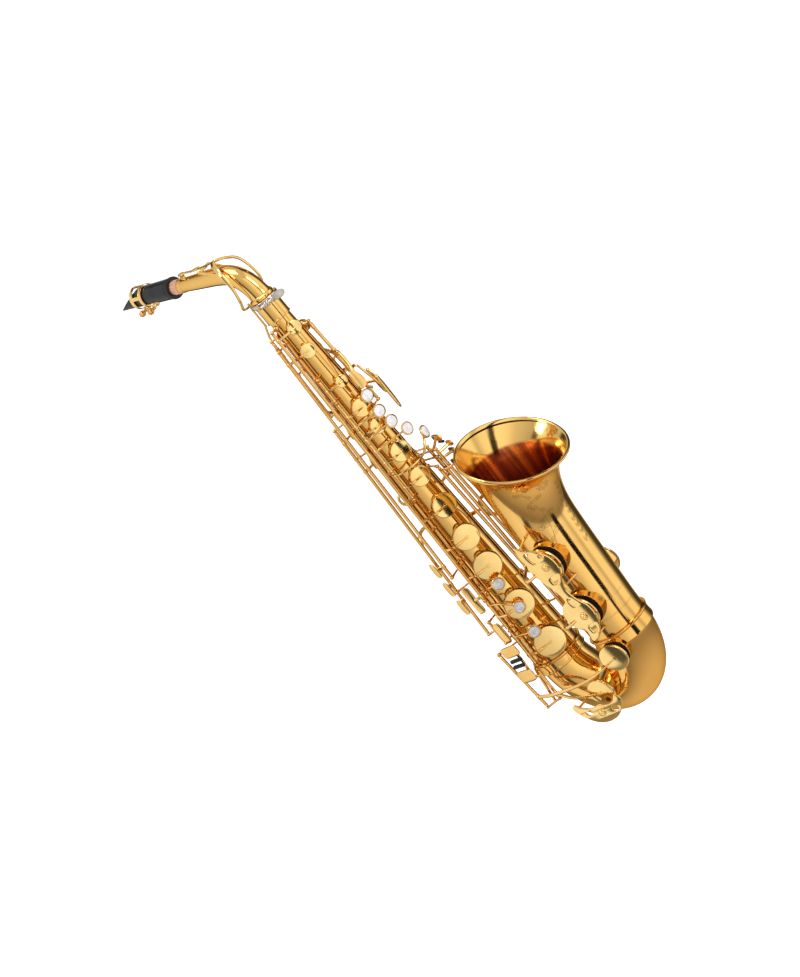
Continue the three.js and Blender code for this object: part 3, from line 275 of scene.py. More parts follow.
# ---------- materials ----------
class Nodes:
    """A material under construction: short calls that add nodes and return their output sockets."""

    def __init__(self, name):
        self.mat = bpy.data.materials.new(name)
        self.mat.use_nodes = True
        self.t = self.mat.node_tree
        self.bsdf = self.t.nodes["Principled BSDF"]
        self.coord = self.new("ShaderNodeTexCoord").outputs["Object"]

    def new(self, kind, **props):
        n = self.t.nodes.new(kind)
        for k, v in props.items():
            setattr(n, k, v)
        return n

    def link(self, a, b):
        self.t.links.new(a, b)

    def noise(self, scale, detail=4.0, rough=0.55, stretch=None):
        n = self.new("ShaderNodeTexNoise")
        n.inputs["Scale"].default_value = scale
        n.inputs["Detail"].default_value = detail
        n.inputs["Roughness"].default_value = rough
        if stretch:
            m = self.new("ShaderNodeMapping")
            m.inputs["Scale"].default_value = stretch
            self.link(self.coord, m.inputs["Vector"])
            self.link(m.outputs[0], n.inputs["Vector"])
        else:
            self.link(self.coord, n.inputs["Vector"])
        return n.outputs["Fac"]

    def ramp(self, fac, stops):
        r = self.new("ShaderNodeValToRGB")
        el = r.color_ramp.elements
        while len(el) < len(stops):
            el.new(0.5)
        for e, (p, c) in zip(el, stops):
            e.position = p
            e.color = c if len(c) == 4 else (*c, 1)
        self.link(fac, r.inputs["Fac"])
        return r.outputs["Color"]

    def span(self, fac, lo, hi, a=0.0, b=1.0):
        m = self.new("ShaderNodeMapRange")
        m.inputs["From Min"].default_value = lo
        m.inputs["From Max"].default_value = hi
        m.inputs["To Min"].default_value = a
        m.inputs["To Max"].default_value = b
        self.link(fac, m.inputs["Value"])
        return m.outputs["Result"]

    def mix(self, fac, a, b):
        m = self.new("ShaderNodeMix", data_type="RGBA")
        for sock, v in ((m.inputs["Factor"], fac), (m.inputs["A"], a), (m.inputs["B"], b)):
            if isinstance(v, bpy.types.NodeSocket):
                self.link(v, sock)
            else:
                sock.default_value = v if isinstance(v, float) else (*v, 1)
        return m.outputs["Result"]

    def math(self, op, a, b=0.0):
        m = self.new("ShaderNodeMath", operation=op)
        for sock, v in zip(m.inputs, (a, b)):
            if isinstance(v, bpy.types.NodeSocket):
                self.link(v, sock)
            else:
                sock.default_value = v
        return m.outputs[0]

    def bump(self, height, strength, distance):
        b = self.new("ShaderNodeBump")
        b.inputs["Strength"].default_value = strength
        b.inputs["Distance"].default_value = distance
        self.link(height, b.inputs["Height"])
        self.link(b.outputs[0], self.bsdf.inputs["Normal"])

    def glow(self, color, strength):
        """Turns the material into a plain light source."""
        self.t.nodes.remove(self.bsdf)
        light = self.new("ShaderNodeEmission")
        light.inputs["Color"].default_value = (*color, 1)
        self.link(strength, light.inputs["Strength"])
        self.link(light.outputs[0], self.t.nodes["Material Output"].inputs["Surface"])
        return self.mat

    def put(self, **values):
        for k, v in values.items():
            sock = self.bsdf.inputs[k.replace("_", " ")]
            if isinstance(v, bpy.types.NodeSocket):
                self.link(v, sock)
            else:
                sock.default_value = v if not isinstance(v, tuple) else (*v, 1)
        return self.mat


WARM_EDGE = (1.0, 0.78, 0.42)         # lacquered brass stays golden where it turns away from the eye


def brass(name, bright, deep, rough=(0.1, 0.2), wave=0.00005, coat=0.5):
    n = Nodes(name)
    tone = n.noise(38, 3)
    smear = n.noise(160, 5, 0.6, (1, 1, 0.3))
    col = n.mix(n.span(tone, 0.35, 0.7), bright, deep)
    n.bump(n.noise(70, 2, 0.5), 0.35, wave)
    return n.put(Base_Color=col, Metallic=1.0, Roughness=n.span(smear, 0.3, 0.75, *rough), Coat_Weight=coat,
                 Coat_Roughness=0.06, Specular_Tint=WARM_EDGE)


def lacquered_tube(name, bright, deep, rough=(0.08, 0.16), coat=0.4):
    """Tube brass: faint lengthwise polishing lines and a slight waviness."""
    n = Nodes(name)
    lines = n.noise(420, 4, 0.6, (1, 1, 0.02))
    tone = n.noise(14, 3)
    col = n.mix(n.span(tone, 0.35, 0.7), bright, deep)
    n.bump(n.math("ADD", n.math("MULTIPLY", lines, 0.15), n.noise(30, 2)), 0.3, 0.00006)
    return n.put(Base_Color=col, Metallic=1.0, Roughness=n.span(lines, 0.3, 0.75, *rough), Coat_Weight=coat,
                 Coat_Roughness=0.04, Specular_Tint=WARM_EDGE)


def plain(name, bright, deep, scale, rough, metal=0.0, bump=0.0, dist=0.0002, **more):
    n = Nodes(name)
    tone = n.noise(scale, 5)
    col = n.mix(n.span(tone, 0.3, 0.7), bright, deep)
    if bump:
        n.bump(n.noise(scale * 2.3, 6), bump, dist)
    return n.put(Base_Color=col, Metallic=metal,
                 Roughness=n.span(n.noise(scale * 1.7, 3), 0.3, 0.7, *rough), **more)


def pearl_material(name, light, dark, tint):
    n = Nodes(name)
    v = n.new("ShaderNodeTexVoronoi")
    v.inputs["Scale"].default_value = 260
    n.link(n.coord, v.inputs["Vector"])
    cloud = n.noise(190, 4, 0.6)
    col = n.mix(n.span(cloud, 0.35, 0.65), light, dark)
    col = n.mix(n.span(v.outputs["Distance"], 0.2, 0.9, 0.0, 0.35), col, tint)
    n.bump(cloud, 0.1, 0.0001)
    return n.put(Base_Color=col, Roughness=0.16, Coat_Weight=0.8, Coat_Roughness=0.05,
                 Specular_IOR_Level=0.7)


def cane_material():
    n = Nodes("cane_reed")
    grain = n.noise(900, 6, 0.7, (1, 1, 0.05))
    col = n.ramp(grain, [(0.3, (0.42, 0.30, 0.12)), (0.55, (0.72, 0.56, 0.28)), (0.8, (0.83, 0.70, 0.42))])
    n.bump(grain, 0.3, 0.0001)
    return n.put(Base_Color=col, Roughness=0.6)


def bell_inside_painted_shade(centre, axis, depth):
    """Gold at the flare, then painted shade: dark maroon with painted orange highlight streaks below a ring
    at depth under the mouth.
    """
    n = Nodes("bell_inside_painted_shade")
    local = n.new("ShaderNodeVectorMath", operation="SUBTRACT")
    n.link(n.coord, local.inputs[0])
    local.inputs[1].default_value = centre
    sep = n.new("ShaderNodeSeparateXYZ")
    n.link(local.outputs[0], sep.inputs[0])
    ang = n.math("ARCTAN2", sep.outputs["Y"], sep.outputs["X"])
    comb = n.new("ShaderNodeCombineXYZ")
    n.link(ang, comb.inputs[0])
    shade_and_glint_noise = n.new("ShaderNodeTexNoise")
    shade_and_glint_noise.inputs["Scale"].default_value = 4.2
    shade_and_glint_noise.inputs["Detail"].default_value = 3.0
    n.link(comb.outputs[0], shade_and_glint_noise.inputs["Vector"])
    # painted shade in the throat: dark maroon, with painted orange highlight streaks in it
    throat = n.ramp(shade_and_glint_noise.outputs["Fac"], [(0.3, (0.13, 0.022, 0.012)), (0.5, (0.30, 0.06, 0.022)),
                                            (0.62, (0.75, 0.24, 0.04)), (0.75, (0.24, 0.045, 0.018))])
    along = n.new("ShaderNodeVectorMath", operation="DOT_PRODUCT")
    n.link(local.outputs[0], along.inputs[0])
    along.inputs[1].default_value = axis
    level = along.outputs["Value"]
    # gold above the ring, painted throat shade below it
    col = n.mix(n.span(level, -depth * 0.10, depth * 0.06), throat, GOLD)
    n.bump(n.noise(60, 3), 0.3, 0.00008)
    return n.put(Base_Color=col, Metallic=1.0, Roughness=n.span(level, -depth, 0.0, 0.34, 0.13),
                 Coat_Weight=0.3)


GOLD, DEEP = (0.88, 0.56, 0.17), (0.80, 0.46, 0.12)
M_TUBE = lacquered_tube("lacquer_tube", GOLD, DEEP)
M_BELL = lacquered_tube("lacquer_bell", (0.86, 0.54, 0.17), (0.80, 0.46, 0.12), (0.08, 0.15), 0.1)
M_KEY = brass("lacquer_keys", (0.90, 0.60, 0.22), (0.80, 0.46, 0.12))
# a lighter copy of the key brass: painted highlight on the cups, guards, ligature and neck octave key
M_LIT_BRASS = brass("lacquer_cups_painted_highlight", (0.93, 0.68, 0.27), (0.88, 0.58, 0.19), (0.08, 0.15), 0.00008)
# a darker copy of the key brass: painted shade for the posts and ribs under the keywork, also used on the
# lyre socket and ligature screws
M_SHADED_BRASS = brass("lacquer_posts_painted_shade", (0.80, 0.46, 0.13), (0.66, 0.34, 0.08), (0.12, 0.22))
M_LINE = plain("engraved_line", (0.30, 0.15, 0.035), (0.20, 0.09, 0.02), 300, (0.45, 0.6), 0.8)
M_SILVER = plain("silver_plate", (0.62, 0.59, 0.54), (0.44, 0.41, 0.37), 140, (0.16, 0.30), 1.0, 0.1,
                 0.00003, Coat_Weight=0.4)
M_BLACK = plain("black_resin", (0.010, 0.010, 0.011), (0.022, 0.022, 0.024), 90, (0.10, 0.18), 0.0, 0.05,
                0.00005, Specular_IOR_Level=0.22)
M_PAD = plain("pad_leather", (0.23, 0.085, 0.04), (0.12, 0.04, 0.02), 320, (0.5, 0.7), 0.0, 0.3, 0.0002)
M_FELT = plain("felt_bumper", (0.16, 0.03, 0.03), (0.08, 0.015, 0.015), 600, (0.85, 0.95), 0.0, 0.6, 0.0003)
# painted shade: a dark colour for discs and sheets set where the bores, the bell's bottom and the
# mouthpiece window lie in shade
M_BORE_SHADE = plain("bore_shadow", (0.035, 0.014, 0.006), (0.07, 0.028, 0.01), 120, (0.6, 0.8), 0.6)
M_CORK = plain("neck_cork", (0.62, 0.33, 0.20), (0.42, 0.20, 0.12), 420, (0.75, 0.9), 0.0, 0.5, 0.0003)
M_CANE = cane_material()
M_PEARL = pearl_material("white_pearl", (0.80, 0.79, 0.77), (0.58, 0.58, 0.60), (0.70, 0.64, 0.70))
M_GREY = pearl_material("grey_pearl", (0.62, 0.60, 0.58), (0.34, 0.33, 0.34), (0.46, 0.41, 0.44))

ROOT = "saxophone_body"


# ---------- body tube with its tone-hole chimneys ----------
def tone_hole(sh, c, n, r, height):
    """A rolled chimney standing on the tube; material 1 is a disc of painted shade that stands for the dark
    bore below it.
    """
    base = c - n * (height + r * 0.35 + 1.5)
    top = height + r * 0.35 + 1.5
    revolve(sh, [(r - 0.9, 0), (r, 0), (r, top - 1.0), (r + 0.25, top - 0.55), (r + 0.2, top - 0.1),
                 (r - 0.3, top), (r - 0.9, top - 0.3), (r - 0.95, top - 1.2)], base, n, 40, 0, close=True)
    revolve(sh, [(0, top - 2.2), (r - 0.9, top - 2.2)], base, n, 32, 1, cap=False)


def build_body_tube():
    sh = Shape()
    z0, z1 = BODY["z0"], 576.0
    prof = [(body_r(z0) - WALL, z0)]
    prof += [(body_r(z), z) for z in (z0, z0 + 0.01)]
    prof += [(body_r(z), z) for z in [z0 + (z1 - z0) * t for t in steps(40)][1:]]
    prof.append((body_r(z1) - WALL, z1))
    prof += [(body_r(z) - WALL, z) for z in (500, 400, 300, 200)]
    revolve(sh, prof, V(0, 0, 0), Z, 96, 0, close=True)
    for z, phi, r in HOLES.values():
        n = P(phi, 1, 0)
        tone_hole(sh, P(phi, body_r(z) + CHIMNEY, z), n, r, CHIMNEY)
    make("body_tube_lacquered", sh, [M_TUBE, M_BORE_SHADE], ROOT, "body_tube")


build_body_tube()

# ---------- bow ----------
BOW_LENGTH = 2 * BOW["socket"] + 161


def bow_at(s):
    k = BOW["socket"]
    if s <= k:
        return V(0, 0, BOW["z"] + k - s), V(0, 0, -1)
    if s >= BOW_LENGTH - k:
        return V(BOW["x"], 0, BOW["z"] + s - BOW_LENGTH + k), V(0, 0, 1)
    t = math.pi * (s - k) / (BOW_LENGTH - 2 * k)
    h = BOW["x"] / 2
    return V(h - h * math.cos(t), 0, BOW["z"] - BOW["drop"] * math.sin(t)), \
        unit(V(h * math.sin(t), 0, -BOW["drop"] * math.cos(t)))


def bent(sh, stations, at, seg, mat=0, close=False, lean=V(0, 1, 0), cap=False):
    rings = []
    for s, r in stations:
        p, t = at(s)
        across = t.cross(lean)
        rings.append([p + across * (r * x) + lean * (r * y) for x, y in circle(seg)])
    grid(sh, rings, mat, close, cap, cap)


BOW_HOLES = dict(low_eflat=(V(42, -35.5, 46), unit(V(-0.05, -1, 0)), 15.5),
                 low_c=(V(94, -39.5, 82), unit(V(0.1, -1, 0)), 15.5))


def bow_radius(s):
    t = (s - BOW["socket"]) / (BOW_LENGTH - 2 * BOW["socket"])
    return BOW["r0"] + (BOW["r1"] - BOW["r0"]) * min(1, max(0, t))


def build_bow():
    sh = Shape()
    k, e, r0, r1 = BOW["socket"], BOW_LENGTH, BOW["r0"], BOW["r1"]
    st = [(0.3, r0 + 0.4), (0, r0 + 2.4), (0.4, r0 + 3.0), (1.2, r0 + 3.2), (2.0, r0 + 3.0),
          (2.6, r0 + 2.2), (3.4, r0 + 1.7), (k + 3.5, r0 + 1.7), (k + 4.1, r0 + 2.2), (k + 4.9, r0 + 2.4),
          (k + 5.7, r0 + 2.2), (k + 6.3, r0 + 1.4), (k + 6.5, r0)]
    st += [(s, bow_radius(s)) for s in [k + 6.5 + (e - 2 * k - 13) * t for t in steps(44)][1:-1]]
    st += [(e - k - 6.5, r1), (e - k - 6.3, r1 + 1.4), (e - k - 5.7, r1 + 2.2), (e - k - 4.9, r1 + 2.4),
           (e - k - 4.1, r1 + 2.2), (e - k - 3.5, r1 + 1.7), (e - 3.4, r1 + 1.7), (e - 2.6, r1 + 2.2),
           (e - 2.0, r1 + 3.0), (e - 1.2, r1 + 3.2), (e - 0.4, r1 + 3.0), (e, r1 + 2.4),
           (e - 0.3, r1 + 0.4)]
    bent(sh, st, bow_at, 96)
    for c, d, r in BOW_HOLES.values():
        tone_hole(sh, c, d, r, 9)
    make("bow_lacquered", sh, [M_BELL, M_BORE_SHADE], ROOT, "bow", angle=30)


build_bow()

# ---------- bell ----------
SHADE_RING_S = 217.0                       # where the gold flare gives way to the painted shade inside the bell, along its axis
BELL_PATH = []


def trace_bell():
    p = V(BOW["x"], 0, BOW["z"] + GAP)
    BELL_PATH.append((-10, V(BOW["x"], 0, BOW["z"] - 10), 0.0))
    for s in range(0, int(BELL["length"]) + 11):
        t = max(0, (s - BELL["straight"]) / (BELL["length"] - BELL["straight"]))
        a = rad(BELL["lean"] * min(1, max(0, s - 8) / 20) + BELL["tip"] * t * t)
        BELL_PATH.append((s, p.copy(), a))
        p = p + V(math.sin(a), 0, math.cos(a))


trace_bell()


def bell_at(s):
    i = 1
    while i < len(BELL_PATH) - 1 and BELL_PATH[i][0] < s:
        i += 1
    (s0, p0, a0), (s1, p1, a1) = BELL_PATH[i - 1], BELL_PATH[i]
    t = (s - s0) / (s1 - s0)
    a = a0 + (a1 - a0) * t
    return p0.lerp(p1, t), V(math.sin(a), 0, math.cos(a))


def bell_radius(s):
    return spline_table(BELL_PROFILE + [(237, 61.1)], s)


def bell_r(z):
    return table(BELL_PROFILE, z - BOW["z"])


def bell_x(z):
    return bell_at(z - BOW["z"])[0].x


def bell_mouth(z, side):
    return V(bell_x(z) + 4, side * (bell_r(z) + 3.6), z)


def bell_point(s, theta, lift=0.0):
    """A point on the bell's outside: s along its axis, theta round it (0 is +X, -90 the player's right)."""
    p, t = bell_at(s)
    across = t.cross(V(0, 1, 0))
    across = across if across.x > 0 else -across
    d = across * math.cos(rad(theta)) + V(0, 1, 0) * math.sin(rad(theta))
    return p + d * (bell_radius(s) + lift), d


def build_bell():
    sh = Shape()
    throat, axis = bell_at(SHADE_RING_S)
    # the bell's inner surface: gold at the flare, painted shade and painted highlight streaks deeper in
    inside = bell_inside_painted_shade((throat + SHIFT) * 0.001, axis, (BELL["length"] - SHADE_RING_S) * 0.001)
    length = BELL["length"]
    st = [(GAP, 33.2), (GAP, 34.0), (3, 34.1)]
    st += [(s, bell_radius(s)) for s in [6 + 226 * t for t in steps(70)]]
    st += [(234, 59.6), (length - 2.2, RIM_R - 0.75), (length - 1.7, RIM_R - 0.2), (length - 0.7, RIM_R),
           (length + 0.4, RIM_R - 0.1), (length + 1.2, RIM_R - 0.6), (length + 1.6, RIM_R - 1.6),
           (length + 1.5, RIM_R - 2.4)]
    bent(sh, st, bell_at, 128, 0)
    inner = [(length + 1.5, RIM_R - 2.4), (length + 0.9, RIM_R - 3.2), (length - 0.6, RIM_R - 4.2)]
    inner += [(s, bell_radius(s) - WALL - 0.6) for s in [234 - 228 * t for t in steps(70)]]
    inner += [(2, 32.7), (GAP, 33.2)]
    bent(sh, inner, bell_at, 128, 2)
    for z, r in BELL_HOLES.values():
        tone_hole(sh, bell_mouth(z, -1), V(0, -1, 0), r, 8)
    tone_hole(sh, bell_mouth(CSHARP[0], 1), V(0, 1, 0), CSHARP[1], 8)
    make("bell_lacquered", sh, [M_BELL, M_BORE_SHADE, inside], ROOT, "bell", angle=30)
    low = Shape()                    # the bow seen from inside the bell: a dark sleeve and floor of painted shade down to the throat
    bent(low, [(s, 32.4) for s in (1, 40)], bell_at, 48, 0)
    p, t = bell_at(3)
    revolve(low, [(0, 0), (32.3, 0)], p, t, 48, 0, cap=False)
    make("bell_floor_painted_shade", low, [M_BORE_SHADE], ROOT)


build_bell()


# ---------- engraving: scrolls and leaves of thin lines on the bell ----------
def engraved(sh, pts, width=0.42):
    """pts are (arc in mm, s) on the bell; a fine flat line just over the surface."""
    path, ups = [], []
    for arc, s in pts:
        theta = math.degrees(arc / bell_radius(s)) - 50
        p, d = bell_point(s, theta, 0.03)
        path.append(p)
        ups.append(d)
    rings = []
    m = len(path)
    for i, p in enumerate(path):
        t = unit(path[min(m - 1, i + 1)] - path[max(0, i - 1)])
        side = unit(ups[i].cross(t))
        f = math.sin(math.pi * (0.08 + 0.84 * i / (m - 1)))
        rings.append([p - side * width * 0.5 * f, p + side * width * 0.5 * f])
    k = len(sh.verts)
    sh.add([v for r in rings for v in r], [])
    for i in range(m - 1):
        a = k + 2 * i
        sh.faces.append([a, a + 1, a + 3, a + 2])
        sh.mats.append(0)


def leaf(sh, arc, s, ang, length, width):
    c, q = math.cos(ang), math.sin(ang)
    place = lambda u, v: (arc + u * c - v * q, s + u * q + v * c)
    for side in (-1, 1):
        engraved(sh, [place(length * t, side * width * math.sin(math.pi * t) ** 0.8 * (1 - 0.3 * t))
                      for t in steps(12)])
    engraved(sh, [place(length * t, 0) for t in steps(8)], 0.22)
    for t in (0.3, 0.45, 0.6, 0.72):
        for side in (-1, 1):
            w = 0.75 * width * math.sin(math.pi * t)
            engraved(sh, [place(length * (t + 0.12 * u), side * w * u) for u in (0, 0.5, 1)], 0.16)


def scroll(sh, arc, s, ang, size, turn):
    """A spiral that opens from its eye."""
    pts = []
    for t in steps(39):
        a = ang + turn * (3.6 * math.pi * t)
        r = size * (0.08 + 0.92 * t ** 1.4)
        pts.append((arc + r * math.cos(a), s + r * math.sin(a)))
    engraved(sh, pts)
    return pts[-1]


def build_engraving():
    sh = Shape()
    rng = random.Random(7)
    stem = [(-14 + 16 * math.sin(t * 4.4), 214 - 150 * t) for t in steps(70)]
    engraved(sh, stem, 0.4)
    for i in range(5, 68, 6):
        arc, s = stem[i]
        side = 1 if (i // 6) % 2 else -1
        reach = 7 + 2.5 * rng.random()
        scroll(sh, arc + side * reach, s + 3, math.pi if side > 0 else 0.0, 4.2 + 1.5 * rng.random(), side)
        leaf(sh, arc, s, (0.5 if side > 0 else math.pi - 0.5) + 0.5 * (rng.random() - 0.5), 13, 2.6)
        leaf(sh, arc, s, (-0.7 if side < 0 else math.pi + 0.7) + 0.4 * (rng.random() - 0.5), 10, 2.1)
    for k in range(8):                 # a flower near the top
        a = 2 * math.pi * k / 8
        leaf(sh, 14 + 1.5 * math.cos(a), 206 + 1.5 * math.sin(a), a, 7.5, 2.0)
    for k in range(10):                # petals along the right edge
        leaf(sh, 30 - 0.6 * k, 196 - 9 * k, -1.2 + 0.2 * (k % 3), 8, 1.7)
        leaf(sh, 34 - 0.6 * k, 192 - 9 * k, 0.9, 5, 1.2)
    for s in (26.0, 27.6, 44.0):       # turned lines round the bell above the ferrule
        for part in range(12):
            a0 = part * 30.0
            engraved(sh, [(rad(a0 + 50 + 30.5 * t) * bell_radius(s), s) for t in steps(8)], 0.28)
    make("bell_engraving", sh, [M_LINE], ROOT)


build_engraving()


# ---------- brace, receiver, screw, lyre holder, strap ring, thumb pieces ----------
def torus(sh, c, axis, r, wire, seg=48, n=12, mat=0):
    q = Z.rotation_difference(unit(axis))
    pts = [c + q @ V(r * x, r * y, 0) for x, y in circle(seg)]
    sweep(sh, pts, 2 * wire, 2 * wire, q @ Z, mat, True, n, 2.0)


def build_brace_ring():
    sh = Shape()
    y, z = 13, 276
    c = V(47.5, y, z)
    torus(sh, c, V(0, 1, 0), 12.5, 2.0)
    torus(sh, c, V(0, 1, 0), 12.5, 2.3, 48, 4)
    bell_foot = bell_x(z) - math.sqrt((bell_r(z) + GAP)**2 - y * y)
    body_foot = math.sqrt((body_r(z) + GAP)**2 - y * y)
    for s, foot in ((1, bell_foot - 0.6), (-1, body_foot + 0.6)):
        a, b = c + V(12 * s, 0, 0), V(foot, y, z)
        n = (b - a).length
        revolve(sh, [(0, 0), (1.8, 0), (1.5, n * 0.35), (1.7, n * 0.6), (2.3, n * 0.8), (2.4, n), (0, n)],
                a, b - a, 24)
    make("bell_brace_ring", sh, [M_KEY], ROOT, "bell_brace")


def build_receiver():
    """The receiver's sleeve and the split clamp ring round it."""
    sh = Shape()
    ro = TOP_RO
    revolve(sh, [(body_r(573) + 0.6, 0), (ro - 0.3, 0), (ro, 0.4), (ro, 1.6), (ro - 0.4, 2.0),
                 (ro - 0.4, 20), (ro, 20.4), (ro + 0.2, 21.6), (ro + 1.0, 22.4), (ro + 1.2, 23.2),
                 (ro + 1.2, 26.4), (ro + 0.6, 27), (12.6, 27), (12.4, 26.6), (12.4, 4)], V(0, 0, 573), Z,
                 72, 0, close=True)
    make("receiver_sleeve", sh, [M_TUBE], ROOT)
    sh = Shape()
    revolve(sh, [(ro + 1.25, 0.6), (ro + 1.9, 0), (ro + 2.3, 0.6), (ro + 2.3, 3.2), (ro + 1.9, 3.8),
                 (ro + 1.25, 3.4)],
            V(0, 0, 596.3), Z, 72, 0, close=True)
    lug_a, lug_b = P(46, ro, 596), P(58, ro, 596)
    n = P(52, 1, 0)
    for a in (lug_a, lug_b):
        plate(sh, a + n * 3.6, unit(P(-38, 1, 0)), n, 8.6, 6.6, 2.2)
    make("receiver_clamp", sh, [M_SILVER], ROOT, "neck_receiver")


def build_thumbscrew():
    sh = Shape()
    c, d, n = P(52, TOP_RO + 4.6, 596), P(-38, 1, 0), P(52, 1, 0)
    rod(sh, c - d * 8, c + d * 9, 1.75)
    revolve(sh, [(0, 0), (2.8, 0), (3.3, 0.5), (3.3, 2.4), (2.4, 3.2), (0, 3.4)], c + d * 6.3, d, 28)
    w = c + d * 15.5
    plate(sh, w, n, d, 14.6, 8.8, 2.3, power=2.2, seg=40)
    for k in range(-5, 6):            # knurling on the wing
        for s in (-1, 1):
            x = w + d * (k * 1.15) + n * (s * 1.25)
            h = 3.6 * math.sqrt(max(0.05, 1 - (k * 1.15 / 7.0)**2))
            sweep(sh, [x - Z * h, x + Z * h], 0.5, 0.5, n, n=6)
    make("receiver_thumbscrew", sh, [M_SILVER], "receiver_screw", "receiver_screw")


def build_lyre_socket():
    """A square tube with rounded corners, for a music lyre."""
    sh = Shape()
    c = P(-120, TOP_RO + 5.2, 585)
    ax, ay = V(math.cos(rad(120)), math.sin(rad(120)), 0), V(-math.sin(rad(120)), math.cos(rad(120)), 0)
    rings = []
    for half, h in ((3.3, -7), (3.75, -6.5), (3.75, 6.5), (3.3, 7), (1.6, 7), (1.6, -7)):
        ring = []
        for sx, sy in ((1, 1), (-1, 1), (-1, -1), (1, -1)):
            for u, v in ((0, -0.5), (-0.5, 0)) if sx * sy > 0 else ((-0.5, 0), (0, -0.5)):
                ring.append(c + ax * (sx * (half + u)) + ay * (sy * (half + v)) + Z * h)
        rings.append(ring)
    grid(sh, rings, 0, close=True)
    make("lyre_socket", sh, [M_SHADED_BRASS], ROOT, "lyre_holder", angle=30)


def build_strap_loop():
    sh = Shape()
    torus(sh, V(-30, 0, 330), V(0, 1, 0), 7, 1.6)
    foot = -body_r(330) - GAP - 1.0
    plate(sh, V(foot, 0, 330), V(-1, 0, 0), Z, 18.6, 7, 1.4, power=2.2)
    for z in (323.2, 336.8):
        sphere(sh, V(foot - 0.7, 0, z), 0.9, V(-1, 0, 0), 12, 0, 6)
    make("strap_loop", sh, [M_KEY], ROOT, "strap_ring")


def build_thumb_pieces():
    """The right thumb's hook and the left thumb's button."""
    sh = Shape()
    r = body_r(285)
    n = P(186, 1, 0)
    plate(sh, P(186, r + GAP + 1.0, 285), n, Z, 30, 10, 1.5, power=2.6)
    path = smooth_path([P(186, r + 2.6, 286), P(183, r + 15, 290), P(172, r + 20.6, 287),
                        P(160, r + 21.6, 278.4)])
    sweep(sh, path, lambda f: 4.0 + 0.6 * math.sin(math.pi * f), lambda f: 4.0 - 0.8 * f, Z)
    rod(sh, P(186, r + 2.0, 276), P(186, r + 3.0, 276), 2.2)
    make("thumb_hook_bent", sh, [M_KEY], ROOT, "thumb_hook")

    sh = Shape()
    revolve(sh, [(0, 0), (7.7, 0), (8, 0.5), (8, 2.4), (7.4, 3.2), (6.4, 3.7), (3, 3.95), (0, 4)],
            P(190, body_r(470) + GAP + 0.5, 470), P(190, 1, 0), 40)
    make("thumb_rest_button", sh, [M_BLACK], ROOT, "thumb_rest")


build_brace_ring()
build_receiver()
build_thumbscrew()
build_lyre_socket()
build_strap_loop()
build_thumb_pieces()


# ---------- keywork ----------
# A line is a key's rod seen from above: its angle round the body, and its distance from the body's axis,
# or over the body's surface in UP and LOW. A touch is the plate that a finger presses.
def key_turn(p0, p1, probe, out, opened):
    """The rotation that swings a key, drawn closed, to where it rests."""
    axis = unit(p1 - p0)
    sign = math.copysign(1, axis.cross(probe - p0).dot(out))
    return Matrix.Translation(p0) @ Matrix.Rotation(rad(opened) * sign, 4, axis) @ Matrix.Translation(-p0)


class Key:
    """One key: its brass, its pad and its rider, all drawn closed and then swung to rest."""

    def __init__(self, node, body, p0, p1, collars=True):
        self.node, self.body, self.p0, self.p1 = node, body, p0, p1
        self.brass, self.cup, self.pad = Shape(), Shape(), Shape()
        self.riders = []
        rod(self.brass, p0, p1, ROD, 24)
        if collars:
            d = unit(p1 - p0)
            for a, b in ((p0 + d * 1.2, p0 + d * 2.0), (p1 - d * 2.0, p1 - d * 1.2)):
                rod(self.brass, a, b, ROD + 0.22, 24)

    def hub(self, a, b):
        """A thicker stretch of the tube, where an arm is soldered on."""
        rod(self.brass, a, b, ROD + 0.45, 24)

    def finish(self, probe, out, opened=0.0):
        m = key_turn(self.p0, self.p1, probe, out, opened)
        whole = self.brass
        k = len(whole.faces)
        whole.join(self.cup)
        whole.mats = [0] * k + [i + 1 for i in whole.mats[k:]]
        whole.turn(m)
        make(self.node + "_brass", whole, [M_KEY, M_LIT_BRASS], self.body, self.node)
        if self.pad.verts:
            self.pad.turn(m)
            make(self.node + "_pad", self.pad, [M_PAD], self.body)
        for name, sh, mat, slot, node in self.riders:
            sh.turn(m)
            make(name, sh, [mat], self.body if node.startswith("pearl") else node, node)


def cup_at(key, base, n, r, boss=True):
    """A key cup over a pad: rolled edge, shoulder, slightly domed top, and a boss for the arm."""
    revolve(key.pad, [(0, 0.0), (r - 2.0, 0.0), (r - 1.0, 0.15), (r - 0.55, 0.7), (r - 0.5, 1.7), (0, 1.7)],
            base, n, 44)
    prof = [(r - 0.5, 1.25), (r - 0.12, 1.2), (r, 1.45), (r - 0.1, 1.8), (r - 0.18, 2.6), (r - 0.45, 3.15),
            (r - 1.1, 3.45), (r - 1.7, 3.42), (r - 2.1, 3.5)]
    for t in (0.8, 0.6, 0.4, 0.2, 0.0):
        prof.append(((r - 2.1) * t, 3.5 + (CUP - 3.5) * (1 - t * t)))
    revolve(key.cup, prof, base, n, 56, cap=False)
    if boss:
        revolve(key.brass, [(0, CUP - 0.5), (min(2.6, r * 0.34), CUP - 0.5),
                            (min(2.4, r * 0.3), CUP + 0.35), (0, CUP + 0.5)], base, n, 24)


def cup_of(hole):
    """Where the cup over one of the body's tone holes sits."""
    z, phi, r = HOLES[hole]
    base = body_r(z) + CHIMNEY + GAP
    return dict(base=P(phi, base, z), n=P(phi, 1, 0), r=r + 1, z=z, phi=phi, centre=P(phi, base + CUP, z))


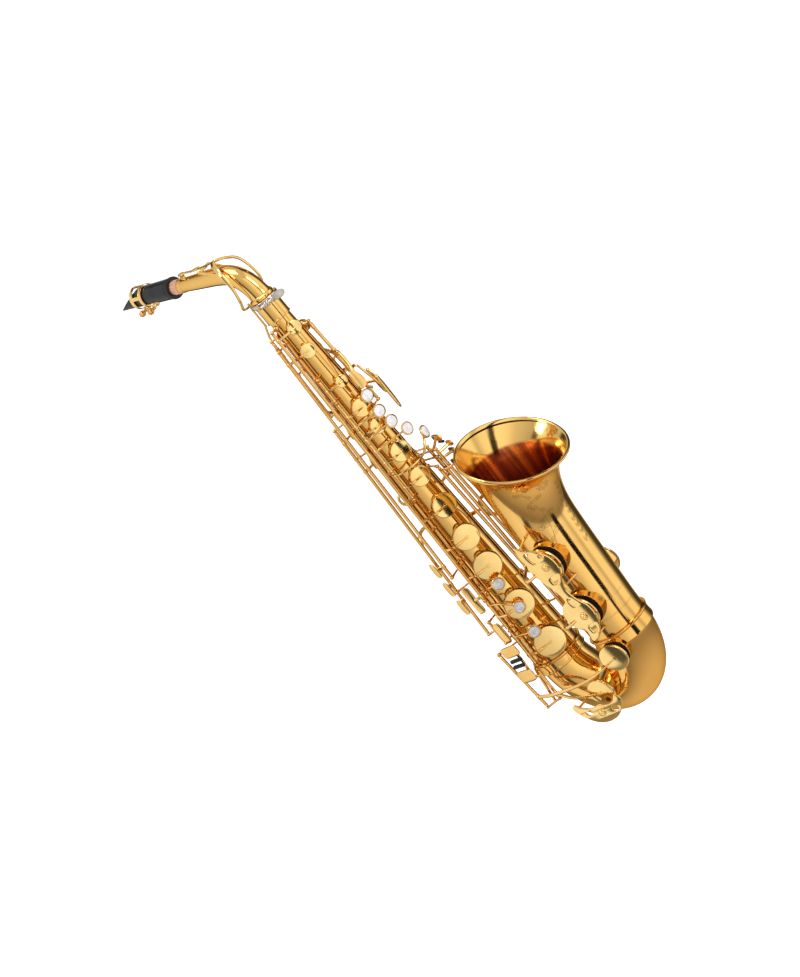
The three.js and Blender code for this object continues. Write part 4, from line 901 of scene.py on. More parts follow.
def arm_to(key, cup, rod_phi, rod_r, z=None, width=3.4, rise=0.6):
    """A blade from the rod that tapers to a point over the cup, like the hand of a clock."""
    z = cup["z"] if z is None else z
    away = math.copysign(1, rod_phi - cup["phi"])
    t = Z.cross(cup["n"]) * -away
    lift = cup["n"] * 0.5
    tip = cup["centre"] - t * (cup["r"] * 0.12) + lift
    knee = cup["centre"] + t * (cup["r"] * 0.92) + lift
    foot = P(rod_phi, rod_r, z)
    if z != cup["z"]:
        knee.z = 0.5 * (knee.z + z)
    mid = knee.lerp(foot, 0.5) + cup["n"] * rise
    path = smooth_path([tip, knee, mid, foot], 1.2)
    sweep(key.brass, path, lambda f: 0.5 + (width - 0.5) * min(1, 1.5 * f)**0.8,
          lambda f: 1.0 + 1.5 * min(1, 2 * f), cup["n"])
    key.hub(foot - Z * (width * 0.62), foot + Z * (width * 0.62))


def pearl_at(key, name, c, n, material, slot, r=7.0):
    """A finger pearl in its brass cup, facing along n."""
    revolve(key.brass, [(0, -2.4), (r - 1.2, -2.4), (r - 0.1, -1.9), (r + 0.5, -0.9), (r + 0.5, 0.2),
                        (r + 0.15, 0.5), (r - 0.5, 0.4), (r - 0.6, -0.6), (0, -0.6)], c, n, 40)
    sh = Shape()
    q = r - 0.9
    revolve(sh, [(0, -0.3), (q, -0.3), (q, 0.35), (q - 0.35, 0.85)]
            + [((q - 0.7) * t, 0.95 + 0.85 * (1 - t * t)) for t in (1, 0.8, 0.6, 0.4, 0.2, 0)], c, n, 44)
    key.riders.append((name + "_shell", sh, material, slot, name))


def bar_path(key, points, width, thick, up=Z, taper=0.0):
    """An arm of a key through the points."""
    sweep(key.brass, smooth_path(points, 1.5), lambda f: width * (1 - taper * f), thick, up)


UP, LOW = (79, 9), (97, 10)


def on_stack(line, z):
    return P(line[0], body_r(z) + line[1], z)


def stack_key(name, z0, z1, line, finger=None, opened=9.0):
    """A key of the main stacks; finger says where its pearl is and how the arm gets there."""
    cup = cup_of(name)
    key = Key("key_" + name, name + "_key", on_stack(line, z0), on_stack(line, z1))
    cup_at(key, cup["base"], cup["n"], cup["r"])
    arm_to(key, cup, line[0], body_r(cup["z"]) + line[1])
    if finger:
        pearl, z, phi, r, aim, root_z, material, slot, via = finger
        c, n = P(phi, r, z), P(aim, 1, 0)
        pearl_at(key, pearl, c, n, material, slot)
        root = on_stack(line, root_z)
        bar_path(key, [root, *via, c - n * 2.5], 3.0, 2.3)
        key.hub(root - Z * 2.1, root + Z * 2.1)
    key.finish(cup["centre"], cup["n"], opened)


W, G = (M_PEARL, "white_pearl"), (M_GREY, "grey_pearl")
stack_key("c", 470, 497, UP)
stack_key("b", 430.5, 466, UP, ("pearl_b", 435, 16, 34, 20, 435, *W, []))
stack_key("bis", 411.5, 430, UP, ("pearl_bis", 418.5, 13, 36.5, 18, 416, *W, []), 8)
stack_key("a", 373, 411, UP, ("pearl_a", 401, 2, 40, 8, 401, *W, []), 8)
stack_key("g", 337, 369, UP, ("pearl_g", 384, -19, 43, -14, 367, *W, [P(40, 33, 367), P(5, 37, 369)]), 8)
stack_key("g_sharp", 296, 328, LOW, None, 0)
stack_key("f_sharp", 253, 292, LOW, None, 7)
stack_key("f", 203, 247, LOW, ("pearl_f", 209, 51, 40, 50, 209, *G, []), 7)
stack_key("e", 158, 198, LOW, ("pearl_e", 175, 49, 41.5, 49, 192, *G, [P(66, 38.5, 187)]), 7)
stack_key("d", 108, 152, LOW, ("pearl_d", 143, 55, 42.5, 54, 146, *G, []), 6.5)

HIGH_FS = (88, lambda z: 27 + (560 - z) * 0.042)
HIGH_E = (110, lambda z: 27 + (560 - z) * 0.049)
SIDE_C = (134, lambda z: 27 + (560 - z) * 0.049)
SIDE_B = (144, lambda z: 27 + (560 - z) * 0.049)
OCTAVE = (142, lambda z: body_r(z) + 10)


def on(line, z):
    return P(line[0], line[1](z), z)


def side_key(name, line, z0, z1, z, phi, r, aim, long, wide, rise=0.6):
    """A long key whose touch, at z and phi, lies far below its cup; aim is the way the touch faces."""
    cup = cup_of(name)
    key = Key("key_" + name, name + "_key", on(line, z0), on(line, z1))
    cup_at(key, cup["base"], cup["n"], cup["r"])
    arm_to(key, cup, line[0], line[1](cup["z"]), rise=rise)
    c, n = P(phi, r, z), P(aim, 1, 0)
    outline = None
    if long > 30:                     # a plate with a waist
        outline = [(a, b * (0.72 + 0.28 * abs(2 * a / long)**1.4))
                   for a, b in superellipse(long, wide, 44, 3.6)]
    plate(key.brass, c, n, Z, long, wide, 2.0, outline=outline)
    bar_path(key, [on(line, z), on(line, z).lerp(c, 0.5) + n * 0.5, c], 4.0, 2.0,
             Z.cross(unit(c - on(line, z))))
    key.hub(on(line, z - 2.6), on(line, z + 2.6))
    key.finish(cup["centre"], cup["n"])


side_key("high_f_sharp", HIGH_FS, 203.5, 567, 207, 104, 43.5, 84, 36, 12)
# clear of the high F sharp tube
side_key("high_e", HIGH_E, 243, 545, 256, 122, 48.5, 112, 19, 9, rise=-0.5)
side_key("side_c", SIDE_C, 222, 440, 231, 121, 50.5, 108, 19, 9)
side_key("side_bflat", SIDE_B, 160, 400, 206, 120, 51.5, 106, 20, 9)


def alt_f_sharp():
    """The small lever beside the lower stack."""
    c, n = P(104, 42, 158), P(88, 1, 0)
    at = lambda z: P(118, 41, z)
    key = Key("lever_alt_f_sharp", "alt_f_sharp_lever", at(146), at(172))
    plate(key.brass, c, n, Z, 28, 10, 2.0)
    bar_path(key, [at(158), c], 4, 2.2, Z.cross(unit(c - at(158))))
    bar_path(key, [at(168), P(132, 38, 172)], 3.4, 2, Z.cross(unit(P(132, 38, 0) - P(118, 41, 0))))
    key.finish(c, -n)


alt_f_sharp()


def palm_key(name, phi, z0, z1, path, n, along, long, wide, teardrop=0.0):
    """A key for the left palm: path leads its arm to the touch, which faces along n."""
    cup = cup_of(name)
    line = (phi, lambda z: body_r(z) + 7.5)
    key = Key("key_" + name, name + "_key", on(line, z0), on(line, z1))
    cup_at(key, cup["base"], cup["n"], cup["r"])
    z_arm = min(z1 - 6, cup["z"])
    arm_to(key, cup, phi, line[1](z_arm), z_arm)
    bar_path(key, [on(line, z0 + 3), *path], 3.6, 2.6, n)
    key.hub(on(line, z0 + 0.8), on(line, z0 + 5.2))
    outline = [(a, b * (1 + teardrop * 2 * a / long)) for a, b in superellipse(long, wide, 44, 2.4)]
    plate(key.brass, path[-1], n, along, long, wide, 2.6, outline=outline, dome=0.7)
    key.finish(cup["centre"], cup["n"])


palm_key("palm_f", -34, 506, 549, [P(-20, 25.5, 506), P(-9, 28.5, 490), P(8, 32, 474.5)],
         P(16, 1, 0), V(0.1, 0.1, -1), 24, 13, 0.25)
palm_key("palm_eflat", -64, 476, 506, [P(-40, 29, 482), P(-28, 34, 468), P(-27, 39.5, 440)],
         P(-27, 1, 0), V(0.22, 0, -1), 44, 9)
palm_key("palm_d", -94, 452, 496, [P(-72, 31, 456), P(-58, 38, 452)],
         P(-58, 1, 0), V(0.1, 0, -1), 34, 12)


def front_f():
    """The pearl above the B key, on an arm of its own."""
    p, n = P(17, 34, 455), P(30, 1, 0)
    line = (-44, lambda z: body_r(z) + 8)
    key = Key("key_front_f", "front_f_key", on(line, 440), on(line, 468))
    pearl_at(key, "pearl_front_f", p, n, *W)
    bar_path(key, [on(line, 455), P(-12, 31, 455.5), p - n * 2.6], 3, 2.4)
    key.finish(p, -n)


front_f()

BFLAT_ROD = (V(46, -6, 198), V(33, 3, 343))
B_ROD = (V(50, -4, 128), V(37, 8, 351))
CSHARP_ROD = (V(54, 3, 152), V(42, 8, 359))
GS_ROD = (P(-24, 34, 330), P(-24, 33, 364))
EFLAT_ROD = (P(100, 41, 62), P(100, 39.5, 100))
C_ROD = (P(125, 49.5, 58), P(125, 54, 136))
TABLE_FACE = P(-58, 1, 0)


def on_rod(line, z):
    return line[0].lerp(line[1], (z - line[0].z) / (line[1].z - line[0].z))


def bell_key(name, line, hole, side, via, path, along, long, wide, opened):
    """A key on the bell: via leads its arm to the cup, path leads the other arm to the table touch."""
    z, r = hole
    mouth, n = bell_mouth(z, side), V(0, side, 0)
    key = Key("key_" + name, name + "_key", *line)
    cup_at(key, mouth + n * GAP, n, r + 1)
    top = mouth + n * (GAP + CUP + 0.5)
    foot = on_rod(line, via[0].z)
    run = [foot, *via, top]
    sweep(key.brass, smooth_path(run, 1.5), lambda f: 4.2 - 2.6 * max(0, f - 0.6) / 0.4,
          lambda f: 2.8 - 1.2 * f, n)
    key.hub(foot - Z * 3, foot + Z * 3)
    bar_path(key, [on_rod(line, line[1].z - 3), *path], 3.4, 2.4, TABLE_FACE)
    plate(key.brass, path[-1], TABLE_FACE, along, long, wide, 2.4)
    key.finish(mouth, n, opened)


bell_key("low_bflat", BFLAT_ROD, BELL_HOLES["low_bflat"], -1, [V(66, -42, 201), V(84, -45, 204)],
         [P(0, 41, 339), P(-6, 50, 338), P(-12, 51, 338)], P(30, 1, 0), 20, 8, 4)
bell_key("low_b", B_ROD, BELL_HOLES["low_b"], -1, [V(66, -41, 133), V(84, -44, 137)],
         [V(40, 16, 347), P(-23, 53, 347)], P(30, 1, 0), 22, 8, 4)
bell_key("low_csharp", CSHARP_ROD, CSHARP, 1, [V(62, 38, 156), V(80, 44, 154)],
         [P(-24, 55, 355.5)], P(30, 1, 0), 15, 7, 0)


def roller(sh, c, axis, half, r):
    """A roller with rounded ends, half of its length to either side of c."""
    revolve(sh, [(0, 0), (r - 0.5, 0), (r, 0.6), (r, 2 * half - 0.6), (r - 0.5, 2 * half), (0, 2 * half)],
            c - axis * half, axis, 28)


def g_sharp_lever():
    """The table's upper plate, with its roller, and the arm that reaches the G sharp key."""
    key = Key("lever_g_sharp", "g_sharp_lever", *GS_ROD)
    c, axis = P(-23, 48, 368.5), P(30, 1, 0)
    plate(key.brass, c, TABLE_FACE, axis, 22, 8, 2.4)
    bar_path(key, [GS_ROD[1] - Z * 4, P(-25, 39, 361.5), P(-24, 45, 367), c], 3.2, 2.4, TABLE_FACE)
    bar_path(key, [GS_ROD[0] + Z * 2, P(-2, 27.5, 329)], 3, 2.4)
    sh = Shape()
    roller(sh, P(-24, 49, 362), axis, 6, 1.6)
    key.riders.append(("table_roller_black", sh, M_BLACK, "black_resin", "table_roller"))
    key.finish(P(-2, 27.5, 329), P(30, -1, 0))


g_sharp_lever()


def pinky_key(name, line, foot_z, via, pad, size, touch_z, touch, roller_name, roller_c, opened):
    """A low key: via leads its arm from the rod to the cup on the bow, touch leads to the finger's pad."""
    aim = P(96, 1, 0)
    across = Z.cross(aim)
    c, n, r = BOW_HOLES[name]
    key = Key("key_" + name, name + "_key", *line)
    cup_at(key, c + n * GAP, n, r + 1)
    foot = on_rod(line, foot_z)
    top = c + n * (GAP + CUP + 0.5)
    sweep(key.brass, smooth_path([foot, *via, top], 1.5), lambda f: 4.6 - 3.4 * f**2,
          lambda f: 2.6 - 1.2 * f, n)
    key.hub(foot - Z * 3, foot + Z * 3)
    plate(key.brass, pad, aim, across, *size, 2.2, power=4)
    bar_path(key, [on_rod(line, touch_z), *touch], 3.6 if len(touch) > 1 else 4, 2.4, aim)
    sh = Shape()
    roller(sh, roller_c, across, 8, 2.3)
    key.riders.append((roller_name + "_black", sh, M_BLACK, "black_resin", roller_name))
    key.finish(c, n, opened)


pinky_key("low_eflat", EFLAT_ROD, 66, [V(12, -42.5, 54)], P(106, 49, 137), (24, 14), 93,
          [P(106, 44.6, 98), P(105, 44.6, 128), P(106, 49, 136) + V(0, 1.2, 4)],
          "pinky_roller_upper", P(107, 49.3, 124.9), 0)
pinky_key("low_c", C_ROD, 72, [V(-4, -47.5, 71), V(42, -46.5, 70), V(74, -46.5, 76)], P(110, 49.5, 103),
          (24, 16), 104, [P(110, 49.5, 103)], "pinky_roller_lower", P(109, 49.3, 117.6), 2.6)


def thumb_octave():
    """The octave lever: its touch, the upper octave cup and the rod that lifts the neck's loop."""
    cup = cup_of("octave")
    key = Key("lever_thumb_octave", "thumb_octave_lever", on(OCTAVE, 458), on(OCTAVE, 556))
    cup_at(key, cup["base"], cup["n"], cup["r"], False)
    arm_to(key, cup, OCTAVE[0], OCTAVE[1](cup["z"]))
    pad = P(184, body_r(452) + 9, 448)
    bar_path(key, [on(OCTAVE, 462), P(166, body_r(458) + 10, 457), pad], 4, 2.4, P(170, 1, 0))
    plate(key.brass, pad, P(184, 1, 0), Z, 16, 14, 2.4, power=2.6)
    bar_path(key, [on(OCTAVE, 551), P(158, 23.5, 560), P(170, 20.2, 574)], 2.8, 2.2, P(160, 1, 0))
    rod(key.brass, P(170, 20, 572), P(170, 19.4, 604), 1.2, 16)
    out = P(OCTAVE[0], 1, 0)
    for c, s in circle(24):          # knurled sleeve on the rod's upper end
        d = out * c + Z.cross(out) * s
        sweep(key.brass, [on(OCTAVE, 536) + d * 2.1, on(OCTAVE, 549) + d * 2.1], 0.35, 0.5, d, n=6)
    key.finish(cup["centre"], cup["n"])


thumb_octave()


# ---------- ribs and posts ----------
RIB = dict(stack=101, side=126, left=-18, palm=-76)


def rib(sh, phi, z0, z1):
    """A long flat strip soldered to the body, which carries posts."""
    at = lambda z: P(phi, body_r(z) + GAP + 0.7, z)
    pts = [at(z0 + (z1 - z0) * t) for t in steps(20)]
    sweep(sh, pts, lambda f: 5.0 * min(1, (0.35 + 30 * min(f, 1 - f))), 1.2, P(phi, 1, 0), n=10)


def post(sh, rib_phi, head, along, reach=1.4, foot_z=None):
    """A turned post: base, waisted stem, ball head and the end screw of the rod it holds."""
    foot_z = head.z if foot_z is None else foot_z
    foot = P(rib_phi, body_r(foot_z) + GAP + 0.9, foot_z)
    up = unit(head - foot)
    n = (head - foot).length
    revolve(sh, [(0, -0.3), (2.9, -0.3), (3.0, 0.3), (2.6, 0.9), (1.6, 1.3), (1.15, 2.2), (1.05, n * 0.5),
                 (1.3, n * 0.8), (1.9, n - 1.4), (0, n - 0.8)], foot, up, 20)
    d = unit(along)
    revolve(sh, [(0, -reach - 0.25), (1.5, -reach - 0.2), (2.15, -0.9), (2.5, -0.3), (2.5, 0.3),
                 (2.15, 0.9), (1.5, reach + 0.2), (0, reach + 0.25)], head, d, 22)


def stack_slope(line):
    return on_stack(line, 400) - on_stack(line, 300)


def tilt(line):
    return on(line, 400) - on(line, 300)


def build_stack_posts():
    sh = Shape()
    rib(sh, RIB["stack"], 102, 571)
    for z in (334.8, 371, 468, 499.2):
        post(sh, RIB["stack"], on_stack(UP, z), stack_slope(UP))
    for z in (105.7, 155, 200.4, 250, 294, 330.3):
        post(sh, RIB["stack"], on_stack(LOW, z), stack_slope(LOW), 1.3)
    rod(sh, on_stack(LOW, 200.4), on(HIGH_FS, 201.4), 1.3)
    sphere(sh, on(HIGH_FS, 201.4), 2.45)
    post(sh, RIB["stack"], on(HIGH_FS, 569), tilt(HIGH_FS), 1.4, 567)
    make("stack_posts_turned", sh, [M_SHADED_BRASS], ROOT, "stack_posts")


def build_side_posts():
    sh = Shape()
    rib(sh, RIB["side"], 100, 562)
    for line, zs in ((HIGH_E, (240.8, 547.2)), (SIDE_C, (219.8, 442.2)), (SIDE_B, (157.8, 402.2)),
                     (OCTAVE, (455.8, 558.2))):
        for z in zs:
            post(sh, RIB["side"], on(line, z), tilt(line))
    post(sh, RIB["side"], P(118, 41, 143.8), Z)
    post(sh, RIB["side"], P(118, 41, 174.2), Z)
    post(sh, RIB["side"], on_rod(C_ROD, 138.2), C_ROD[1] - C_ROD[0], 1.4, 134)
    a, b, c = on_rod(EFLAT_ROD, 59.8), on_rod(C_ROD, 55.8), on_rod(EFLAT_ROD, 102.2)
    spine = [P(RIB["side"], body_r(103) + 2.2, 103), P(118, 34.5, 98), P(112, 38.5, 84), P(109, 43.5, 59)]
    sweep(sh, smooth_path(spine, 1.5), 3.0, 3.0, P(112, 1, 0))
    rod(sh, spine[1], c, 1.3)
    rod(sh, spine[3], a, 1.3)
    rod(sh, spine[3], b, 1.3)
    for p, line in ((a, EFLAT_ROD), (b, C_ROD), (c, EFLAT_ROD)):
        sphere(sh, p, 2.5, unit(line[1] - line[0]), flat=0.66)
    make("side_posts_turned", sh, [M_SHADED_BRASS], ROOT, "side_key_posts")


def beyond(line, end, gap=2.0):
    d = unit(line[1] - line[0])
    return line[1] + d * gap if end else line[0] - d * gap


def build_left_posts():
    sh = Shape()
    rib(sh, RIB["left"], 120, 560)
    rib(sh, RIB["palm"], 447, 511)
    arc = [P(phi, body_r(485) + (3.6 if i % 4 else 1.6), 485)
           for i, phi in enumerate((RIB["left"], -31, -44, -57, RIB["palm"]))]
    sweep(sh, smooth_path(arc, 1.5), 2.6, 2.6, Z)
    for which, phi, h, z0, z1 in (("left", -34, 7.5, 506, 549), ("palm", -64, 7.5, 476, 506),
                                  ("palm", -94, 7.5, 452, 496), ("left", -44, 8, 440, 468)):
        f = lambda z: P(phi, body_r(z) + h, z)
        for z in (z0 - 2.2, z1 + 2.2):
            post(sh, RIB[which], f(z), f(z + 1) - f(z), 1.4, min(z, 509) if which == "palm" else z)
    for line in (GS_ROD, BFLAT_ROD, B_ROD, CSHARP_ROD):
        for end in (0, 1):
            p = beyond(line, end)
            post(sh, RIB["left"], p, line[1] - line[0], 1.4, p.z + (4 if end else -2))
    make("left_posts_turned", sh, [M_SHADED_BRASS], ROOT, "left_posts")


build_stack_posts()
build_side_posts()
build_left_posts()


# ---------- key guards: pierced leaves of sheet brass ----------
def closed_curve(points):
    """A smooth closed outline through the points."""
    pts = smooth_path([V(x, y, 0) for x, y in points], 1.2, closed=True)
    return [(p.x, p.y) for p in pts]


def pierced_plate(sh, outer, windows, y, thick, mat=0, edge=0.35):
    """A flat plate in the XZ plane with windows, soft edges on its front; thickness towards -Y."""
    cu = bpy.data.curves.new("tmp_plate", "CURVE")
    cu.dimensions = "2D"
    cu.fill_mode = "BOTH"
    cu.extrude = thick / 2 - edge
    cu.bevel_depth = edge
    cu.bevel_resolution = 2
    cu.offset = -edge
    for pts in [outer, *windows]:
        sp = cu.splines.new("POLY")
        sp.points.add(len(pts) - 1)
        for q, (x, z) in zip(sp.points, pts):
            q.co = (x, z, 0, 1)
        sp.use_cyclic_u = True
    ob = bpy.data.objects.new("tmp_plate", cu)
    bpy.context.scene.collection.objects.link(ob)
    bpy.context.view_layer.update()
    me = ob.evaluated_get(bpy.context.evaluated_depsgraph_get()).to_mesh()
    sh.add([V(v.co.x, y - thick / 2 + v.co.z, v.co.y) for v in me.vertices],
           [list(f.vertices) for f in me.polygons], mat)
    ob.evaluated_get(bpy.context.evaluated_depsgraph_get()).to_mesh_clear()
    bpy.data.objects.remove(ob)
    bpy.data.curves.remove(cu)


def oval(cx, cz, w, h, n=20):
    return [(cx + 0.5 * w * c, cz + 0.5 * h * s) for c, s in circle(n)]


def adjuster(sh, felt, x, z, depth):
    """A round barrel with a felt stop and a crossed slot in its screw."""
    c, n = V(x, depth, z), V(0, -1, 0)
    revolve(sh, [(0, 0), (4.2, 0), (4.6, 0.5), (4.6, 4.2), (4.1, 4.9), (3.6, 5.1), (3.3, 4.6), (0, 4.6)], c,
            n, 36)
    revolve(sh, [(0, 4.6), (2.6, 4.6), (2.6, 5.2), (2.3, 5.5), (0, 5.5)], c, n, 28)
    for a in (0.6, 0.6 + math.pi / 2):
        d = V(math.cos(a), 0, math.sin(a))
        sweep(sh, [c + n * 5.3 - d * 2.2, c + n * 5.3 + d * 2.2], 0.7, 0.5, n, 1, n=6)
    revolve(felt, [(0, -1.6), (3.2, -1.6), (3.4, -1.2), (3.4, 0), (0, 0)], c, n, 24)


def strut(sh, a, b):
    """A waisted leg that holds a guard off the tube."""
    n = (b - a).length
    revolve(sh, [(0, 0), (1.8, 0), (1.3, 2.4), (1.3, n * 0.7), (1.8, n - 0.8), (1.8, n), (0, n)], a, b - a,
            20)


def build_bell_guard():
    sh, felt = Shape(), Shape()
    y = -55
    edge = [(92, 246), (99, 240), (112, 232), (121, 220), (122, 204), (114, 190), (110, 178), (113, 166),
            (120, 152), (119, 136), (112, 122), (100, 112), (95, 114), (97, 126), (94, 142), (96, 158),
            (100, 172), (97, 186), (92, 200), (91, 218), (89, 234)]
    windows = [closed_curve([(98, 236), (103, 232), (104.5, 224), (101, 220), (97.5, 226)]),
               closed_curve([(104, 199), (110, 200), (112.5, 196), (108, 190), (103.5, 190)]),
               closed_curve([(104, 170), (107, 168), (108.5, 161), (106, 157), (103, 163)]),
               closed_curve([(103, 131), (108, 132.5), (111.5, 128), (108, 121.5), (103, 122)]),
               oval(113.5, 226.5, 4, 5)]
    pierced_plate(sh, closed_curve(edge), windows, y, 2)
    for (x, z), fz in (((93.5, 240), 243), ((113, 184), 180), ((99.5, 116), 113)):
        dx, r = x - bell_x(fz), bell_r(fz) + GAP + 0.4
        a, b = V(x, y - 1, z), V(x, -math.sqrt(r * r - dx * dx) - 0.3, fz)
        strut(sh, a, b)
    adjuster(sh, felt, 109, 212, y + 1.6)
    adjuster(sh, felt, 107, 144, y + 1.6)
    make("bell_guard_pierced", sh, [M_LIT_BRASS, M_LINE], ROOT, "bell_key_guard", angle=30)
    make("bell_guard_felts", felt, [M_FELT], ROOT)


def build_low_guard():
    sh, felt = Shape(), Shape()
    y = -49.5
    edge = [(6, 47), (10, 36), (20, 23), (33, 17), (48, 18), (60, 25), (68, 37), (64, 44), (57, 38),
            (47, 36), (38, 40), (28, 39), (18, 43), (11, 50)]
    windows = [oval(54, 29, 9, 9), closed_curve([(17, 36), (20, 31), (24, 31.5), (22, 36.5), (18, 38)])]
    pierced_plate(sh, closed_curve(edge), windows, y, 2)
    adjuster(sh, felt, 36, 30, y + 1.4)
    for a, b in ((V(10, y - 1, 44), V(9, -29.2, 40)), (V(64.5, y - 1, 39), V(66, -32.5, 36))):
        strut(sh, a, b)
    make("low_guard_pierced", sh, [M_LIT_BRASS, M_LINE], ROOT, "low_key_guard", angle=30)
    make("low_guard_felts", felt, [M_FELT], ROOT)


build_bell_guard()
build_low_guard()

# ---------- neck ----------
NECK_TURNED = Matrix.Rotation(math.pi - rad(NECK_TURN), 4, "Z")
NECK_LINE = smooth_path([V(u, 0, z) for u, z in NECK_PATH], 0.5)
NECK_S = [0.0]                        # length along the neck at each of its points
for start, end in zip(NECK_LINE, NECK_LINE[1:]):
    NECK_S.append(NECK_S[-1] + (end - start).length)
NECK_LENGTH = NECK_S[-1]
VENT_S, SADDLE_S = 135, 46            # where the octave vent and the octave key's saddle stand
OCTAVE_PIVOT = V(47, 0, 658)


def neck_at(s):
    if s <= 25:
        return V(0, 0, 580 + s), V(0, 0, 1)
    i = 1
    while i < len(NECK_S) - 1 and NECK_S[i] < s:
        i += 1
    t = (s - NECK_S[i - 1]) / (NECK_S[i] - NECK_S[i - 1])
    a, b = NECK_LINE[max(0, i - 2)], NECK_LINE[min(len(NECK_LINE) - 1, i + 1)]
    return NECK_LINE[i - 1] + (NECK_LINE[i] - NECK_LINE[i - 1]) * t, unit(b - a)


def neck_up(t):
    """The upward normal to the neck's direction, in the neck's own plane."""
    up = t.cross(V(0, 1, 0))
    return up if up.z > 0 else -up


CORK_LENGTH, CORK_RI, CORK_RO = 27.5, 6.75, 8.0
END_P, END_T = neck_at(NECK_LENGTH)


def build_neck():
    sh = Shape()
    sleeve = NECK_LENGTH - CORK_LENGTH - 1
    st = [(2, 10.9), (0, 11.3), (0.4, 11.9), (20.2, 11.9), (20.4, 13.6), (21, 14.1), (22.4, 14.2),
          (24, 14.1), (24.6, 13.4), (25.2, 12.4), (27, 12.1)]
    st += [(s, spline_table(NECK_R, s)) for s in [30 + (sleeve - 36) * t for t in steps(60)]]
    r = table(NECK_R, sleeve - 6)
    st += [(sleeve - 5.6, r + 0.35), (sleeve - 4.4, r + 0.5), (sleeve - 0.6, r + 0.45), (sleeve, r),
           (sleeve + 0.4, CORK_RI - GAP), (NECK_LENGTH - 0.5, CORK_RI - GAP), (NECK_LENGTH, CORK_RI - 0.7),
           (NECK_LENGTH, 5.5), (NECK_LENGTH - 12, 5.5)]
    bent(sh, st, neck_at, 72)
    p, t = neck_at(VENT_S)
    up = neck_up(t)
    revolve(sh, [(1.0, 5), (3.6, 5.5), (3.0, 7.2), (2.6, 8), (2.6, 10.7), (2.3, 11), (1.2, 11),
                 (1.0, 10.5)], p, up, 32,
            close=True)
    p, t = neck_at(SADDLE_S)
    for side in (-1, 1):              # the saddle's two cheeks carry the octave key
        a = p + neck_up(t) * 10.4 + V(0, side * 4.2, 0)
        b = OCTAVE_PIVOT + V(0, side * 8.9, 0)
        sweep(sh, smooth_path([a, a.lerp(b, 0.5) + V(0, side * 0.6, 0), b]), 3.4, 2.0, V(0, 1, 0))
        sphere(sh, b, 2.3, V(0, 1, 0), flat=0.6)
    sh.turn(NECK_TURNED)
    make("neck_lacquered", sh, [M_TUBE], "neck", "neck", angle=30)
    sh = Shape()
    c = END_P - END_T * CORK_LENGTH
    n = CORK_LENGTH - 0.5
    revolve(sh, [(CORK_RI, 0), (CORK_RO - 0.5, 0), (CORK_RO, 0.6), (CORK_RO, n - 1.2), (CORK_RO - 0.8, n),
                 (CORK_RI, n)], c,
            END_T, 48, close=True)
    sh.turn(NECK_TURNED)
    make("neck_cork_sleeve", sh, [M_CORK], "neck", "neck_cork")


build_neck()


def build_octave_key():
    p, t = neck_at(VENT_S)
    up = neck_up(t)
    pivot = OCTAVE_PIVOT
    base = p + up * (11 + GAP)
    loop = [V(27, 0, 659), V(12, -14.5, 649), V(6, -18.5, 630), V(9, -20, 612), V(19, -15, 602),
            V(26, 0, 599), V(19, 15, 602), V(9, 20, 612), V(6, 18.5, 630), V(12, 14.5, 649)]
    sh = Shape()
    centre = V(16, 0, 630)
    wide = lambda f: 3.4 + 3.2 * max(0.0, math.cos(2 * math.pi * f))**0.7
    # the loop is thin only where it passes the octave rod
    deep = lambda f: 1.9 + 1.2 * min(1.0, abs(f - 0.5) / 0.2)
    sweep(sh, smooth_path(loop, 1.2, closed=True), wide, deep, lambda q: unit(q - centre), 0, True,
          power=2.6)
    rod(sh, pivot - V(0, 7, 0), pivot + V(0, 7, 0), 1.8)
    run = smooth_path([V(26.5, 0, 659), pivot + V(-4, 0, 1.4), V(66, 0, 661), base + up * 2.6], 1.2)
    sweep(sh, run, lambda f: 6.6 - 2.6 * f, 1.8, up)
    plate(sh, V(60, 0, 661.6), V(0, 0, 1), V(1, 0, 0), 16, 5.4, 1.2, power=2.2)
    revolve(sh, [(0, 3), (3.0, 2.9), (3.9, 2.4), (4.2, 1.6), (4.2, 0.9), (0, 0.9)], base, up, 36)
    pad = Shape()
    revolve(pad, [(0, 0), (3.2, 0), (3.7, 0.4), (3.7, 1), (0, 1)], base, up, 32)
    sh.turn(NECK_TURNED)
    pad.turn(NECK_TURNED)
    make("neck_octave_brass", sh, [M_LIT_BRASS], "neck_octave_key", "key_neck_octave")
    make("neck_octave_pad", pad, [M_PAD], "neck_octave_key")


build_octave_key()


# ---------- mouthpiece, reed and ligature: z runs to the tip and y points up ----------
MP_LENGTH, MP_INSET, MP_BEAK = 92.0, 17.0, 33.0
MP_UP = neck_up(END_T)
MP_SIDE = MP_UP.cross(END_T)
MP_ROOT = END_P - END_T * MP_INSET
MP_MATRIX = Matrix.Translation(MP_ROOT) @ Matrix((
    (MP_SIDE.x, MP_UP.x, END_T.x), (MP_SIDE.y, MP_UP.y, END_T.y), (MP_SIDE.z, MP_UP.z, END_T.z))).to_4x4()
TABLE_Y = -7.4                        # height of the flat table that the reed lies on
FREE, MP_SIDES = 99.0, 64             # a limit that cuts nothing; corners of each ring


